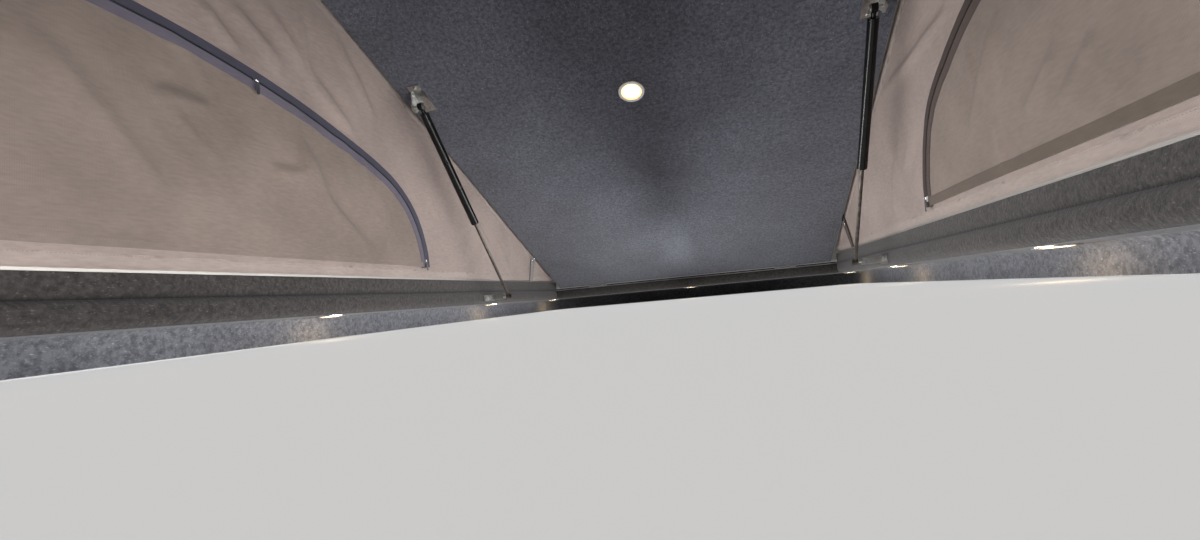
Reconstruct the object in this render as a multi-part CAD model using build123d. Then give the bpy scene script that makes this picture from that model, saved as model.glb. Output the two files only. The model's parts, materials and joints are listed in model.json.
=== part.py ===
"""Elevating roof of a camper van.

A pressed roof panel has a framed opening, and a moulded top hinges at the rear of that opening. Two
gas struts hold the top open over canvas sides with zipped window flaps. Millimetres, X to the vehicle's
left, Y to its rear, Z up. The origin lies under the middle of the roof, level with the gutter's
underside. The top is drawn closed, then turned open about its hinge.
"""
from build123d import *
import os
from math import cos, hypot, radians, sin

# Roof panel
ROOF_LENGTH = 3200
ROOF_WIDTH = 1540
ROOF_CORNER = 150
ROOF_EDGE = 48
SKIN = 3
DECK = 92
GUTTER_WIDTH = 18
GUTTER_LIP = 10
LOCATING_HOLE = 3.5
LOCATING_INSET = 10
LOCATING_FROM_END = 400
SWAGES = 5
SWAGE_PITCH = 240
SWAGE_LENGTH = 250
SWAGE_WIDTH = 70
SWAGE_RISE = 6
SWAGE_TAPER = 20

# Opening, by what is left of the roof round it
SIDE_CEILING = 167
FRONT_HEADER = 364
REAR_HEADER = 480
FRAME_WALL = 3
FRAME_RISE = 39
DECK_FLANGE = 31
CEILING_FLANGE = 40

# Ceiling panels and rim trim
CEILING = 55
CEILING_BOARD = 6
CEILING_INSET = 22
CEILING_EDGE = 20
RIM_FOOT = 5
RIM_UPPER = 8
RIM_ROLL = 15
RIM_TOP_ROLL = 10
RIM_CREASE = 95

# Canvas, its lower rail and its straps
CANVAS = 3
CANVAS_RAIL = 4
CANVAS_RAIL_INSET = 9
CANVAS_TAIL = 17
SEAT = 0.3
STRAP_WIDTH = 30
STRAP_FROM_HINGE = 277
STRAP_LEAN = 34

# Window flaps. The side outline has its rear foot, shoulder and crest, then the front shoulder and foot.
FLAP_LAP = 16
WINDOW_SILL = 30
WINDOW_FROM_HINGE = 975
WINDOW_FROM_FRONT = 146
REAR_SHOULDER = (175, 232)
CREST = (470, 360)
FRONT_SHOULDER = (91, 215)
WINDOW_BULGES = (40, 28, 41, 24)
FRONT_WINDOW_HALF = 330
FRONT_WINDOW_SILL = 125
FRONT_WINDOW_HEIGHT = 600
FRONT_WINDOW_CORNER = 110

# Hinge and opened angle
OPEN_ANGLE = 25
HINGE_SETBACK = 10
HINGE_RISE = 18
HINGE_X = 400
HINGE_WIDTH = 80
HINGE_KNUCKLE = 8
HINGE_PIN = 4
HINGE_PLATE = 3
HINGE_PLATE_HALF = 10
HINGE_LEAF_HEIGHT = 40

# Moulded top
SHELL_SIDE = 57
SHELL_AHEAD = 94
SHELL_TAIL = 20
SHELL_LIFT = 6
SHELL_HEIGHT = 123
SHELL_WALL = 5
SHELL_CORNER = 110
SHELL_REAR_CORNER = 60
SHELL_EDGE = 46
SHELL_PEAK_FROM_HINGE = 830
CROWN_RADIUS = 7500
ARCH_RADIUS = 30000
SHELL_RIB_X = 310
SHELL_RIB_WIDTH = 110
SHELL_RIB_RISE = 5
SHELL_RIB_MARGIN = 260
SEAL_WIDTH = 14
SEAL_HEIGHT = 11
REAR_SEAL_GAP = 12
REAR_SEAL_FOOT = 34
REAR_SEAL_BULB = 12
REAR_SEAL_LIP = 4

# Lined board and beam frame under the shell
LINING_MARGIN = 35
LINING_FRONT_MARGIN = 36
LINING_REAR_MARGIN = 14
LINING_DROP = 20
LINING_BOARD = 6
BEAM_WIDTH = 20
BEAM_OUTSET = 2
BEAM_SETBACK = 30
TOP_RAIL_WIDTH = 14
TOP_RAIL_HEIGHT = 14
TOP_RAIL_RISE = 8

# Lamp and downlights, each a bezel's radius, a lens's radius and the lens's dome
LAMP = (33, 25, 4)
LAMP_FROM_HINGE = 1058
DOWNLIGHT = (30, 22, 2)
DOWNLIGHT_MARGIN = 13
DOWNLIGHT_FROM_FRONT = 1116
DOWNLIGHT_FROM_REAR = 500
REAR_DOWNLIGHT = 135
BEZEL = 3

# Struts
STRUT_INSET = 52
STRUT_HEAD_FROM_HINGE = 1170
STRUT_HEAD_DROP = 30
STRUT_FOOT_FROM_HINGE = 670
STRUT_FOOT_RISE = 19
TUBE_RADIUS = 11
TUBE_LENGTH = 352
TUBE_WALL = 1.5
TUBE_NECK = 18
TUBE_END = 8
TUBE_MOUTH = 6
PISTON = 12
ROD_RADIUS = 4.5
ROD_INSIDE = 150
EYE_RADIUS = 9
EYE_WIDTH = 12
PIN_RADIUS = 4
PIN_GAP = 0.3
OPEN_PIVOT_GAP = 2
BRACKET = 3
BRACKET_CLEARANCE = 5
HEAD_PLATE = (34, 84)
TAB_RADIUS = 13
FOOT_PLATE = (68, 22)
FOOT_ARM = (20, 16)

# Closing catches
CATCH_X = 420
CATCH_WIDTH = 44
CATCH_DEPTH = 12
CATCH_LOW = 7
CATCH_HEIGHT = 22
CATCH_MOUTH = (26, 7)
KEEPER_WIDTH = 48
KEEPER_DEPTH = 30
KEEPER_HOOK = (20, 18)

OPENING_HALF = ROOF_WIDTH / 2 - SIDE_CEILING
OPENING_FRONT = FRONT_HEADER - ROOF_LENGTH / 2
OPENING_REAR = ROOF_LENGTH / 2 - REAR_HEADER
CEILING_TOP = CEILING + CEILING_BOARD
CEILING_FLAT = ROOF_WIDTH / 2 - GUTTER_WIDTH - CEILING_INSET - CEILING_EDGE
CEILING_END = ROOF_LENGTH / 2 - GUTTER_WIDTH - CEILING_INSET - CEILING_EDGE
FRAME_TOP = DECK + FRAME_RISE
CANVAS_BOTTOM = FRAME_TOP + CANVAS_RAIL + SEAT
HINGE_Y = OPENING_REAR + HINGE_SETBACK
HINGE_Z = DECK + HINGE_RISE
HINGE_AXIS = Axis((0, HINGE_Y, HINGE_Z), (1, 0, 0))
SHELL_HALF = OPENING_HALF + SHELL_SIDE
SHELL_FRONT = OPENING_FRONT - SHELL_AHEAD
SHELL_REAR = HINGE_Y + SHELL_TAIL
SHELL_SKIRT = DECK + SEAL_HEIGHT + SHELL_LIFT
SHELL_TOP = SHELL_SKIRT + SHELL_HEIGHT
SHELL_PEAK = HINGE_Y - SHELL_PEAK_FROM_HINGE
LINING_HALF = OPENING_HALF - LINING_MARGIN
LINING_FRONT = OPENING_FRONT + LINING_FRONT_MARGIN
LINING_REAR = OPENING_REAR - LINING_REAR_MARGIN
LINING_UNDERSIDE = HINGE_Z - LINING_DROP
LINING_TOP = LINING_UNDERSIDE + LINING_BOARD
BEAM_OUTER = LINING_HALF + BEAM_OUTSET
BEAM_FRONT = LINING_FRONT - BEAM_OUTSET
BEAM_REAR = HINGE_Y - BEAM_SETBACK
TOP_RAIL_UNDERSIDE = LINING_TOP + TOP_RAIL_RISE
STRUT_X = LINING_HALF - STRUT_INSET
FAR = ROOF_LENGTH


def opened_point(y, z):
    """Y and Z of a point of the top once it is open."""
    turn = radians(OPEN_ANGLE)
    dy, dz = y - HINGE_Y, z - HINGE_Z
    return HINGE_Y + dy * cos(turn) + dz * sin(turn), HINGE_Z - dy * sin(turn) + dz * cos(turn)


def rails_meet():
    """How far ahead of the hinge the open top's canvas rail meets the lower rail."""
    turn = radians(OPEN_ANGLE)
    return (CANVAS_BOTTOM - HINGE_Z + (HINGE_Z - TOP_RAIL_UNDERSIDE) * cos(turn)) / sin(turn)


CANVAS_REAR = HINGE_Y - rails_meet() - CANVAS_TAIL


def box(x, y, z):
    """Box between a low and a high value on each axis."""
    middle = Pos((x[0] + x[1]) / 2, (y[0] + y[1]) / 2, (z[0] + z[1]) / 2)
    return middle * Box(x[1] - x[0], y[1] - y[0], z[1] - z[0])


def around(middle, width):
    """Low and high value of a width about its middle."""
    return middle - width / 2, middle + width / 2


def plan(half, front, rear, corner, rear_corner=None):
    """Rectangle with rounded corners in plan, as a sketch."""
    outline = Pos(0, (front + rear) / 2) * Rectangle(2 * half, rear - front)
    fronts = outline.vertices().filter_by(lambda v: v.Y < (front + rear) / 2)
    outline = fillet(fronts, corner)
    rears = outline.vertices().sort_by(Axis.Y)[-2:]
    return fillet(rears, corner if rear_corner is None else rear_corner)


def prism(sketch, low, high):
    """Upright solid of a plan sketch between two heights."""
    return extrude(Pos(0, 0, low) * sketch, high - low)


def across(points, low, high):
    """Solid of a section drawn in Y and Z, between two values of X."""
    section = make_face(Polyline(*[(low, y, z) for y, z in points], close=True))
    return extrude(section, high - low, dir=(1, 0, 0))


def rod_x(radius, low, high, y, z):
    """Round bar along X."""
    return Pos((low + high) / 2, y, z) * Rot(0, 90, 0) * Cylinder(radius, high - low)


def mirrored(shape, sign):
    """The shape on the left side, or its mirror image on the right."""
    return shape if sign > 0 else mirror(shape, about=Plane.YZ)


def pair(shape):
    """A left piece and its mirror image, as one node of two solids."""
    return Compound([shape, mirrored(shape, -1)])


def four(corner):
    """The rear left corner piece and its mirror images, as one node of four solids."""
    rears = [corner, mirrored(corner, -1)]
    return Compound(rears + [mirror(piece, about=Plane.XZ) for piece in rears])


def bars(name, ring, front, rear):
    """A ring as side bars between two values of Y, and the cross bars beyond them."""
    ends = {"front": ring & box((-FAR, FAR), (-FAR, front), (-FAR, FAR))}
    if ring.bounding_box().max.Y > rear + SEAT:
        ends["rear"] = ring & box((-FAR, FAR), (rear, FAR), (-FAR, FAR))
    left = ring & box((0, FAR), (front, rear), (-FAR, FAR))
    sides = {"left": left, "right": mirrored(left, -1)}
    return {f"{name}_{side}": bar for side, bar in {**sides, **ends}.items()}


def opened(shape):
    """A piece of the top, turned from closed to open."""
    return shape.rotate(HINGE_AXIS, -OPEN_ANGLE)


def opening_plan(outset):
    """The opening's outline in plan, moved outward."""
    front, rear = OPENING_FRONT - outset, OPENING_REAR + outset
    return Pos(0, (front + rear) / 2) * Rectangle(2 * (OPENING_HALF + outset), rear - front)


def roof_block(inset, top, edge):
    """Solid roof with rounded plan corners and top edge."""
    half = ROOF_WIDTH / 2 - GUTTER_WIDTH - inset
    end = ROOF_LENGTH / 2 - GUTTER_WIDTH - inset
    block = prism(plan(half, -end, end, ROOF_CORNER - GUTTER_WIDTH - inset), 0, top)
    return fillet(block.faces().sort_by(Axis.Z)[-1].edges(), edge)


def swages():
    """Pressed ribs between the rear edge of the roof and the opening."""
    y = ROOF_LENGTH / 2 - GUTTER_WIDTH - ROOF_EDGE - SWAGE_LENGTH / 2
    slot = SlotOverall(SWAGE_LENGTH, SWAGE_WIDTH, rotation=90)
    places = [Pos((i - (SWAGES - 1) / 2) * SWAGE_PITCH, y, DECK - SKIN) for i in range(SWAGES)]
    return [extrude(place * slot, SKIN + SWAGE_RISE, taper=SWAGE_TAPER) for place in places]


def gutter():
    """Flange along the roof's foot with its upturned lip."""
    half, end = ROOF_WIDTH / 2, ROOF_LENGTH / 2
    flange = prism(plan(half, -end, end, ROOF_CORNER), 0, GUTTER_LIP)
    hollow = plan(half - SKIN, SKIN - end, end - SKIN, ROOF_CORNER - SKIN)
    return flange - prism(hollow, SKIN, GUTTER_LIP)


def panel_area():
    """The flat part of the roof, inside its rolled edges."""
    half = ROOF_WIDTH / 2 - GUTTER_WIDTH - ROOF_EDGE
    end = ROOF_LENGTH / 2 - GUTTER_WIDTH - ROOF_EDGE
    return prism(plan(half, -end, end, ROOF_CORNER - GUTTER_WIDTH - ROOF_EDGE), 0, DECK + SWAGE_RISE)


def roof_panels():
    """The pressed roof panel, and the cantrails and corners that are welded round it."""
    inner = roof_block(SKIN, DECK - SKIN, ROOF_EDGE - SKIN)
    body = roof_block(0, DECK, ROOF_EDGE) + gutter() - inner
    skin = body & panel_area()
    for rib in swages():
        skin += rib
    edge = body - panel_area()
    x, y = ROOF_WIDTH / 2 - LOCATING_INSET, ROOF_LENGTH / 2 - LOCATING_FROM_END
    for place in (Pos(x, y), Pos(-x, y), Pos(x, -y), Pos(-x, -y)):
        edge -= place * Cylinder(LOCATING_HOLE, 4 * SKIN)
    along, aside = ROOF_LENGTH / 2 - ROOF_CORNER, ROOF_WIDTH / 2 - ROOF_CORNER
    height = (0, DECK)
    corner = edge & box((aside, FAR), (along, FAR), height)
    side = edge & box((0, FAR), (-along, along), height)
    end = edge & box((-aside, aside), (0, FAR), height)
    return {
        "roof_skin": skin - prism(opening_plan(FRAME_WALL), 0, DECK + SKIN),
        "cantrails": Compound([side, mirrored(side, -1), end, mirror(end, about=Plane.XZ)]),
        "cantrail_corners": four(corner),
    }


def aperture_frame():
    """Welded frame round the opening, as its four bars. The rear bar stops at its deck flange."""
    web = prism(opening_plan(FRAME_WALL), CEILING_TOP, FRAME_TOP)
    rounded = fillet(opening_plan(DECK_FLANGE + FRAME_WALL).vertices(), DECK_FLANGE)
    deck_flange = prism(rounded, DECK, DECK + FRAME_WALL)
    low_flange = prism(opening_plan(CEILING_FLANGE), CEILING_TOP, CEILING_TOP + FRAME_WALL)
    frame = web + deck_flange + low_flange
    frame -= prism(opening_plan(0), CEILING_TOP - 1, FRAME_TOP + 1)
    frame -= box((-FAR, FAR), (OPENING_REAR, FAR), (DECK + FRAME_WALL, FRAME_TOP + 1))
    return bars("frame", frame, OPENING_FRONT, OPENING_REAR)


def rim_section(top):
    """Section of the trim, as points measured inward from the frame and up."""
    crease = min(RIM_CREASE, top)
    foot, neck = (RIM_FOOT, CEILING), (RIM_UPPER, crease)
    edges = [ThreePointArc(foot, (RIM_ROLL, (CEILING + crease) / 2), neck)]
    if top > crease:
        edges.append(ThreePointArc(neck, (RIM_TOP_ROLL, (crease + top) / 2), (RIM_UPPER, top)))
    edges.append(Polyline((RIM_UPPER, top), (0, top), (0, CEILING), foot))
    return make_face(edges)


def rim(length, top):
    """A straight length of trim along +Y, its inner side towards -X."""
    face = Plane(origin=(0, 0, 0), x_dir=(-1, 0, 0), z_dir=(0, 1, 0)) * rim_section(top)
    return extrude(face, length, dir=(0, 1, 0))


def rims():
    cross = 2 * OPENING_HALF
    left = Pos(OPENING_HALF, OPENING_FRONT, 0) * rim(OPENING_REAR - OPENING_FRONT, FRAME_TOP)
    front = Pos(-OPENING_HALF, OPENING_FRONT, 0) * Rot(0, 0, -90) * rim(cross, FRAME_TOP)
    rear = Pos(OPENING_HALF, OPENING_REAR, 0) * Rot(0, 0, 90) * rim(cross, DECK)
    right = mirrored(left, -1)
    return {"rim_left": left, "rim_right": right, "rim_front": front - left - right, "rim_rear": rear - left - right}


def ceiling_tray():
    outer = roof_block(CEILING_INSET, CEILING_TOP, CEILING_EDGE)
    inner = roof_block(CEILING_INSET + CEILING_BOARD, CEILING, CEILING_EDGE - CEILING_BOARD)
    tray = outer - inner - prism(opening_plan(0), 0, CEILING_TOP + 1)
    tray -= box((-FAR, FAR), (-FAR, FAR), (0, SKIN))
    for x, y in downlight_places():
        tray -= Pos(x, y, CEILING) * Cylinder(DOWNLIGHT[1] + BEZEL, 4 * CEILING_BOARD)
    return tray


def ceilings():
    """Flat ceiling boards, and the coving that closes them against the side of the roof."""
    tray = ceiling_tray()
    height = (0, DECK)
    corner = ROOF_CORNER - GUTTER_WIDTH - CEILING_INSET - CEILING_EDGE
    flat = prism(plan(CEILING_FLAT, -CEILING_END, CEILING_END, corner), *height)
    boards, coving = tray & flat, tray - flat
    left = boards & box((0, FAR), (OPENING_FRONT, OPENING_REAR), height)
    along, aside = ROOF_LENGTH / 2 - ROOF_CORNER, ROOF_WIDTH / 2 - ROOF_CORNER
    side = coving & box((0, FAR), (-along, along), height)
    end = coving & box((-aside, aside), (0, FAR), height)
    return {
        "ceiling_left": left,
        "ceiling_right": mirrored(left, -1),
        "ceiling_front": boards & box((-FAR, FAR), (-FAR, OPENING_FRONT), height),
        "ceiling_rear": boards & box((-FAR, FAR), (OPENING_REAR, FAR), height),
        "coving": Compound([side, mirrored(side, -1), end, mirror(end, about=Plane.XZ)]),
        "coving_corners": four(coving & box((aside, FAR), (along, FAR), height)),
    }


def downlight_places():
    """Three down each side and one in the middle of the rear header."""
    x = CEILING_FLAT - DOWNLIGHT_MARGIN - DOWNLIGHT[0]
    rear = OPENING_REAR + REAR_DOWNLIGHT
    rows = (OPENING_FRONT + DOWNLIGHT_FROM_FRONT, OPENING_REAR - DOWNLIGHT_FROM_REAR, rear)
    return [(sign * x, y) for sign in (1, -1) for y in rows] + [(0, rear)]


def light(sizes, board):
    """Bezel and domed lens of a lamp, let into a board whose underside is at the origin."""
    radius, lens_radius, dome = sizes
    ring = Pos(0, 0, -BEZEL / 2) * Cylinder(radius, BEZEL)
    ring = chamfer(ring.faces().sort_by(Axis.Z)[0].edges(), BEZEL / 2)
    sleeve = Pos(0, 0, board / 2) * Cylinder(lens_radius + BEZEL - SEAT, board)
    bezel = ring + sleeve - Cylinder(lens_radius, 4 * board)
    ball = (lens_radius**2 + dome**2) / (2 * dome)
    lens = Pos(0, 0, BEZEL) * Cylinder(lens_radius, 4 * BEZEL) & Pos(0, 0, ball - BEZEL - 1) * Sphere(ball)
    return bezel, lens - box((-FAR, FAR), (-FAR, FAR), (BEZEL, FAR))


def downlights():
    bezel, lens = light(DOWNLIGHT, CEILING_BOARD)
    places = [Pos(x, y, CEILING) for x, y in downlight_places()]
    return {
        "downlight_bezels": Compound([place * bezel for place in places]),
        "downlight_lenses": Compound([place * lens for place in places]),
    }


def canvas_rail():
    ring = prism(opening_plan(FRAME_WALL), FRAME_TOP, FRAME_TOP + CANVAS_RAIL)
    ring -= prism(opening_plan(-CANVAS_RAIL_INSET), FRAME_TOP - 1, FRAME_TOP + CANVAS_RAIL + 1)
    behind = box((-FAR, FAR), (CANVAS_REAR, FAR), (FRAME_TOP, CANVAS_BOTTOM))
    return bars("rail", ring - behind, OPENING_FRONT + CANVAS_RAIL_INSET, CANVAS_REAR)


def shell_plan(inset):
    half, corner, rear_corner = SHELL_HALF - inset, SHELL_CORNER - inset, SHELL_REAR_CORNER - inset
    return plan(half, SHELL_FRONT + inset, SHELL_REAR - inset, corner, rear_corner)


def crowned(top):
    """Block under a surface that is crowned across and arched along the top's length."""
    reach, length = SHELL_HALF + SHELL_CORNER, SHELL_REAR - SHELL_FRONT
    front, rear = SHELL_PEAK - length, SHELL_PEAK + length
    fall, drop = length**2 / (2 * ARCH_RADIUS), reach**2 / (2 * CROWN_RADIUS)
    arch = Bezier((0, front, top - fall), (0, SHELL_PEAK, top + fall), (0, rear, top - fall))
    crown = ThreePointArc((-reach, drop), (0, 0), (reach, drop))
    walls = Polyline((reach, drop), (reach, length), (-reach, length), (-reach, drop))
    section = Plane(origin=arch @ 0, x_dir=(1, 0, 0), z_dir=arch % 0) * make_face([crown, walls])
    return sweep(section, path=arch)


def shell_block(inset):
    """Solid of the closed top with its rounded upper edge."""
    block = prism(shell_plan(inset), SHELL_SKIRT, SHELL_TOP + SHELL_EDGE) & crowned(SHELL_TOP - inset)
    return fillet(block.faces().sort_by(Axis.Z)[-1].edges(), SHELL_EDGE - inset)


def shell_ribs():
    """Two long stiffening ribs moulded into the top."""
    front, rear = SHELL_FRONT + SHELL_RIB_MARGIN, SHELL_REAR - SHELL_RIB_MARGIN
    outline = Rectangle(SHELL_RIB_WIDTH, rear - front)
    outline = Pos(SHELL_RIB_X, (front + rear) / 2) * chamfer(outline.vertices(), SHELL_RIB_WIDTH / 3)
    rib = prism(outline, SHELL_SKIRT, SHELL_TOP + SHELL_EDGE) & crowned(SHELL_TOP + SHELL_RIB_RISE)
    return rib, mirrored(rib, -1)


def roof_seal():
    ring = prism(shell_plan((SHELL_WALL - SEAL_WIDTH) / 2), DECK, DECK + SEAL_HEIGHT)
    ring -= prism(shell_plan((SHELL_WALL + SEAL_WIDTH) / 2), DECK, DECK + SEAL_HEIGHT)
    return ring - box((-FAR, FAR), (BEAM_REAR, FAR), (0, SHELL_TOP))


def rear_seal():
    """Rubber strip behind the top, a bulb on a tapered foot."""
    front = SHELL_REAR + REAR_SEAL_GAP
    bulb, lip, foot = DECK + REAR_SEAL_BULB, DECK + REAR_SEAL_LIP, front + REAR_SEAL_FOOT
    half = SHELL_HALF - SHELL_REAR_CORNER / 2
    section = [
        (front, DECK),
        (front, bulb),
        (front + REAR_SEAL_LIP, bulb),
        (front + REAR_SEAL_BULB, lip),
        (foot, lip),
        (foot, DECK),
    ]
    return across(section, -half, half)


def beams(inner):
    """Frame of four beams between the lined board and the inside of the shell."""
    outside = box((-BEAM_OUTER, BEAM_OUTER), (BEAM_FRONT, BEAM_REAR), (LINING_TOP, SHELL_TOP))
    inside = BEAM_OUTER - BEAM_WIDTH
    front, rear = BEAM_FRONT + BEAM_WIDTH, BEAM_REAR - BEAM_WIDTH
    ring = outside - box((-inside, inside), (front, rear), (0, SHELL_TOP + 1))
    below = box((-BEAM_OUTER, BEAM_OUTER), (BEAM_FRONT, BEAM_REAR), (LINING_TOP, SHELL_SKIRT))
    return bars("beam", ring & (inner + below), front, rear)


def lamp_place():
    return Pos(0, HINGE_Y - LAMP_FROM_HINGE, LINING_UNDERSIDE)


def roof_lining():
    board = box((-LINING_HALF, LINING_HALF), (LINING_FRONT, LINING_REAR), (LINING_UNDERSIDE, LINING_TOP))
    return board - lamp_place() * Cylinder(LAMP[1] + BEZEL, 4 * LINING_BOARD)


def lamp():
    bezel, lens = light(LAMP, LINING_BOARD)
    return {"lamp_bezel": lamp_place() * bezel, "lamp_lens": lamp_place() * lens}


def canvas_top_rail():
    height = (TOP_RAIL_UNDERSIDE, TOP_RAIL_UNDERSIDE + TOP_RAIL_HEIGHT)
    outer = BEAM_OUTER + TOP_RAIL_WIDTH
    ring = box((-outer, outer), (BEAM_FRONT - TOP_RAIL_WIDTH, CANVAS_REAR), height)
    ring -= box((-BEAM_OUTER, BEAM_OUTER), (BEAM_FRONT, FAR), (0, SHELL_TOP))
    return bars("top_rail", ring, BEAM_FRONT, CANVAS_REAR)


def canvas_side(shift):
    """The left side canvas as a ruled sheet, moved inward by a shift."""
    low_x = OPENING_HALF - CANVAS - shift
    high_x = BEAM_OUTER + TOP_RAIL_WIDTH / 2 - shift
    front = (OPENING_FRONT + CANVAS, BEAM_FRONT - TOP_RAIL_WIDTH / 2)
    ends = []
    for low_y, closed_y in (front, (CANVAS_REAR, CANVAS_REAR)):
        y, z = opened_point(closed_y, TOP_RAIL_UNDERSIDE - SEAT)
        low = [(low_x, low_y, CANVAS_BOTTOM), (low_x + CANVAS, low_y, CANVAS_BOTTOM)]
        high = [(high_x + CANVAS, y, z), (high_x, y, z)]
        ends.append(make_face(Polyline(*low, *high, close=True)))
    return loft(ends, ruled=True)


def canvas_front(shift):
    """The front canvas as a flat sheet between the side canvases."""
    low_y, low_x = OPENING_FRONT + CANVAS + shift, OPENING_HALF - CANVAS - SEAT
    high_y, high_z = opened_point(BEAM_FRONT - TOP_RAIL_WIDTH / 2, TOP_RAIL_UNDERSIDE - SEAT)
    high_x = BEAM_OUTER + TOP_RAIL_WIDTH / 2 - SEAT
    low = [(-low_x, low_y, CANVAS_BOTTOM), (low_x, low_y, CANVAS_BOTTOM)]
    high = [(high_x, high_y + shift, high_z), (-high_x, high_y + shift, high_z)]
    return extrude(make_face(Polyline(*low, *high, close=True)), CANVAS, dir=(0, 1, 0))


def side_window(inset):
    """The left window's outline, as a block across the canvas."""
    sill = CANVAS_BOTTOM + WINDOW_SILL
    rear, front = HINGE_Y - WINDOW_FROM_HINGE, OPENING_FRONT + WINDOW_FROM_FRONT
    corners = [
        (rear, sill),
        (rear - REAR_SHOULDER[0], sill + REAR_SHOULDER[1]),
        (front + CREST[0], sill + CREST[1]),
        (front + FRONT_SHOULDER[0], sill + FRONT_SHOULDER[1]),
        (front, sill),
    ]
    arcs = [SagittaArc(a, b, -bulge) for a, b, bulge in zip(corners, corners[1:], WINDOW_BULGES)]
    face = make_face([*arcs, Line(corners[-1], corners[0])])
    if inset:
        face = offset(face, -inset, kind=Kind.INTERSECTION)
    side = Plane(origin=(OPENING_HALF / 2, 0, 0), x_dir=(0, 1, 0), z_dir=(1, 0, 0))
    return extrude(side * face, OPENING_HALF)


def front_window(inset):
    """The front window's outline, as a block across the canvas."""
    middle = CANVAS_BOTTOM + FRONT_WINDOW_SILL + FRONT_WINDOW_HEIGHT / 2
    width, height = 2 * (FRONT_WINDOW_HALF - inset), FRONT_WINDOW_HEIGHT - 2 * inset
    face = RectangleRounded(width, height, FRONT_WINDOW_CORNER - inset)
    front = Plane(origin=(0, OPENING_FRONT - FRONT_HEADER, middle), x_dir=(1, 0, 0), z_dir=(0, 1, 0))
    return extrude(front * face, FAR / 2)


def above_canvas():
    """All that lies above the seam of canvas and top rail, with the top open."""
    return opened(box((-FAR, FAR), (-FAR, FAR), (TOP_RAIL_UNDERSIDE - SEAT, FAR)))


def canvases():
    flap_shift = CANVAS + SEAT
    left = canvas_side(0) - above_canvas() - side_window(FLAP_LAP)
    flap = canvas_side(flap_shift) & side_window(0)
    front = canvas_front(0) - above_canvas() - front_window(FLAP_LAP)
    return {
        "canvas_left": left,
        "canvas_right": mirrored(left, -1),
        "canvas_front": front,
        "window_flap_left": flap,
        "window_flap_right": mirrored(flap, -1),
        "window_flap_front": canvas_front(flap_shift) & front_window(0),
    }


def strap():
    """Webbing that draws the rear of the left canvas inward as the top comes down."""
    low_y = HINGE_Y - STRAP_FROM_HINGE
    high_y, high_z = low_y - STRAP_LEAN, HINGE_Z + HINGE_Y - low_y
    low = [(low_y + STRAP_WIDTH / 2, 0), (low_y - STRAP_WIDTH / 2, 0)]
    high = [(high_y - STRAP_WIDTH / 2, high_z), (high_y + STRAP_WIDTH / 2, high_z)]
    return (canvas_side(CANVAS + SEAT) - above_canvas()) & across(low + high, 0, ROOF_WIDTH)


def hinge_base():
    half, lug_width = HINGE_WIDTH / 2, HINGE_WIDTH / 4
    top = DECK + FRAME_WALL
    base = box((-half, half), around(HINGE_Y + 1, 2 * HINGE_PLATE_HALF), (top, top + HINGE_PLATE))
    for low in (-half, half - lug_width):
        lug = box((low, low + lug_width), around(HINGE_Y, 2 * HINGE_KNUCKLE), (top, HINGE_Z))
        base += lug + rod_x(HINGE_KNUCKLE, low, low + lug_width, HINGE_Y, HINGE_Z)
    base += rod_x(HINGE_PIN, -half, half, HINGE_Y, HINGE_Z)
    return Pos(HINGE_X, 0, 0) * base


def hinge_leaf():
    half, wide = HINGE_WIDTH / 4 - 1, HINGE_WIDTH / 2
    knuckle = rod_x(HINGE_KNUCKLE, -half, half, HINGE_Y, HINGE_Z)
    arm = box((-half, half), (BEAM_REAR, HINGE_Y), around(HINGE_Z, 2 * HINGE_PLATE))
    plate = box((-wide, wide), (BEAM_REAR, BEAM_REAR + HINGE_PLATE), (LINING_TOP + 1, HINGE_Z + HINGE_LEAF_HEIGHT))
    bore = rod_x(HINGE_PIN + PIN_GAP, -half, half, HINGE_Y, HINGE_Z)
    return Pos(HINGE_X, 0, 0) * (knuckle + arm + plate - bore)


def strut_head():
    """Bracket under the lined board, with the pin for the tube's eye."""
    y, z = HINGE_Y - STRUT_HEAD_FROM_HINGE, LINING_UNDERSIDE
    pin_z = z - STRUT_HEAD_DROP
    tab_x = STRUT_X + TUBE_RADIUS + BRACKET_CLEARANCE
    width, length = HEAD_PLATE
    plate = box((tab_x + BRACKET - width, tab_x + BRACKET), around(y, length), (z - BRACKET, z))
    outline = [(y - 2 * TAB_RADIUS, z - BRACKET), (y + 2 * TAB_RADIUS, z - BRACKET)]
    outline += [(y + TAB_RADIUS, pin_z), (y - TAB_RADIUS, pin_z)]
    tab = across(outline, tab_x, tab_x + BRACKET)
    tab += rod_x(TAB_RADIUS, tab_x, tab_x + BRACKET, y, pin_z)
    return plate + tab + rod_x(PIN_RADIUS, STRUT_X - EYE_WIDTH / 2 - 2, tab_x + BRACKET, y, pin_z)


def strut_foot(rim_left):
    """Bracket on the rim, with the pin beside which the rod's eye lies."""
    y, z = HINGE_Y - STRUT_FOOT_FROM_HINGE, CEILING + STRUT_FOOT_RISE
    tip = STRUT_X + EYE_WIDTH / 2 + OPEN_PIVOT_GAP
    arm_x = STRUT_X + TUBE_RADIUS + BRACKET_CLEARANCE
    back = OPENING_HALF - RIM_ROLL
    plate = box((back - BRACKET, OPENING_HALF - 1), around(y, FOOT_PLATE[0]), around(z, FOOT_PLATE[1]))
    arm = box((arm_x, back), around(y, FOOT_ARM[0]), around(z, FOOT_ARM[1]))
    return plate + arm - rim_left + rod_x(PIN_RADIUS, tip, arm_x, y, z)


def strut_line():
    """Plane at the head's pin, its Z axis towards the foot, and the distance between them."""
    y, z = opened_point(HINGE_Y - STRUT_HEAD_FROM_HINGE, LINING_UNDERSIDE - STRUT_HEAD_DROP)
    dy = HINGE_Y - STRUT_FOOT_FROM_HINGE - y
    dz = CEILING + STRUT_FOOT_RISE - z
    return Plane(origin=(STRUT_X, y, z), x_dir=(1, 0, 0), z_dir=(0, dy, dz)), hypot(dy, dz)


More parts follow.
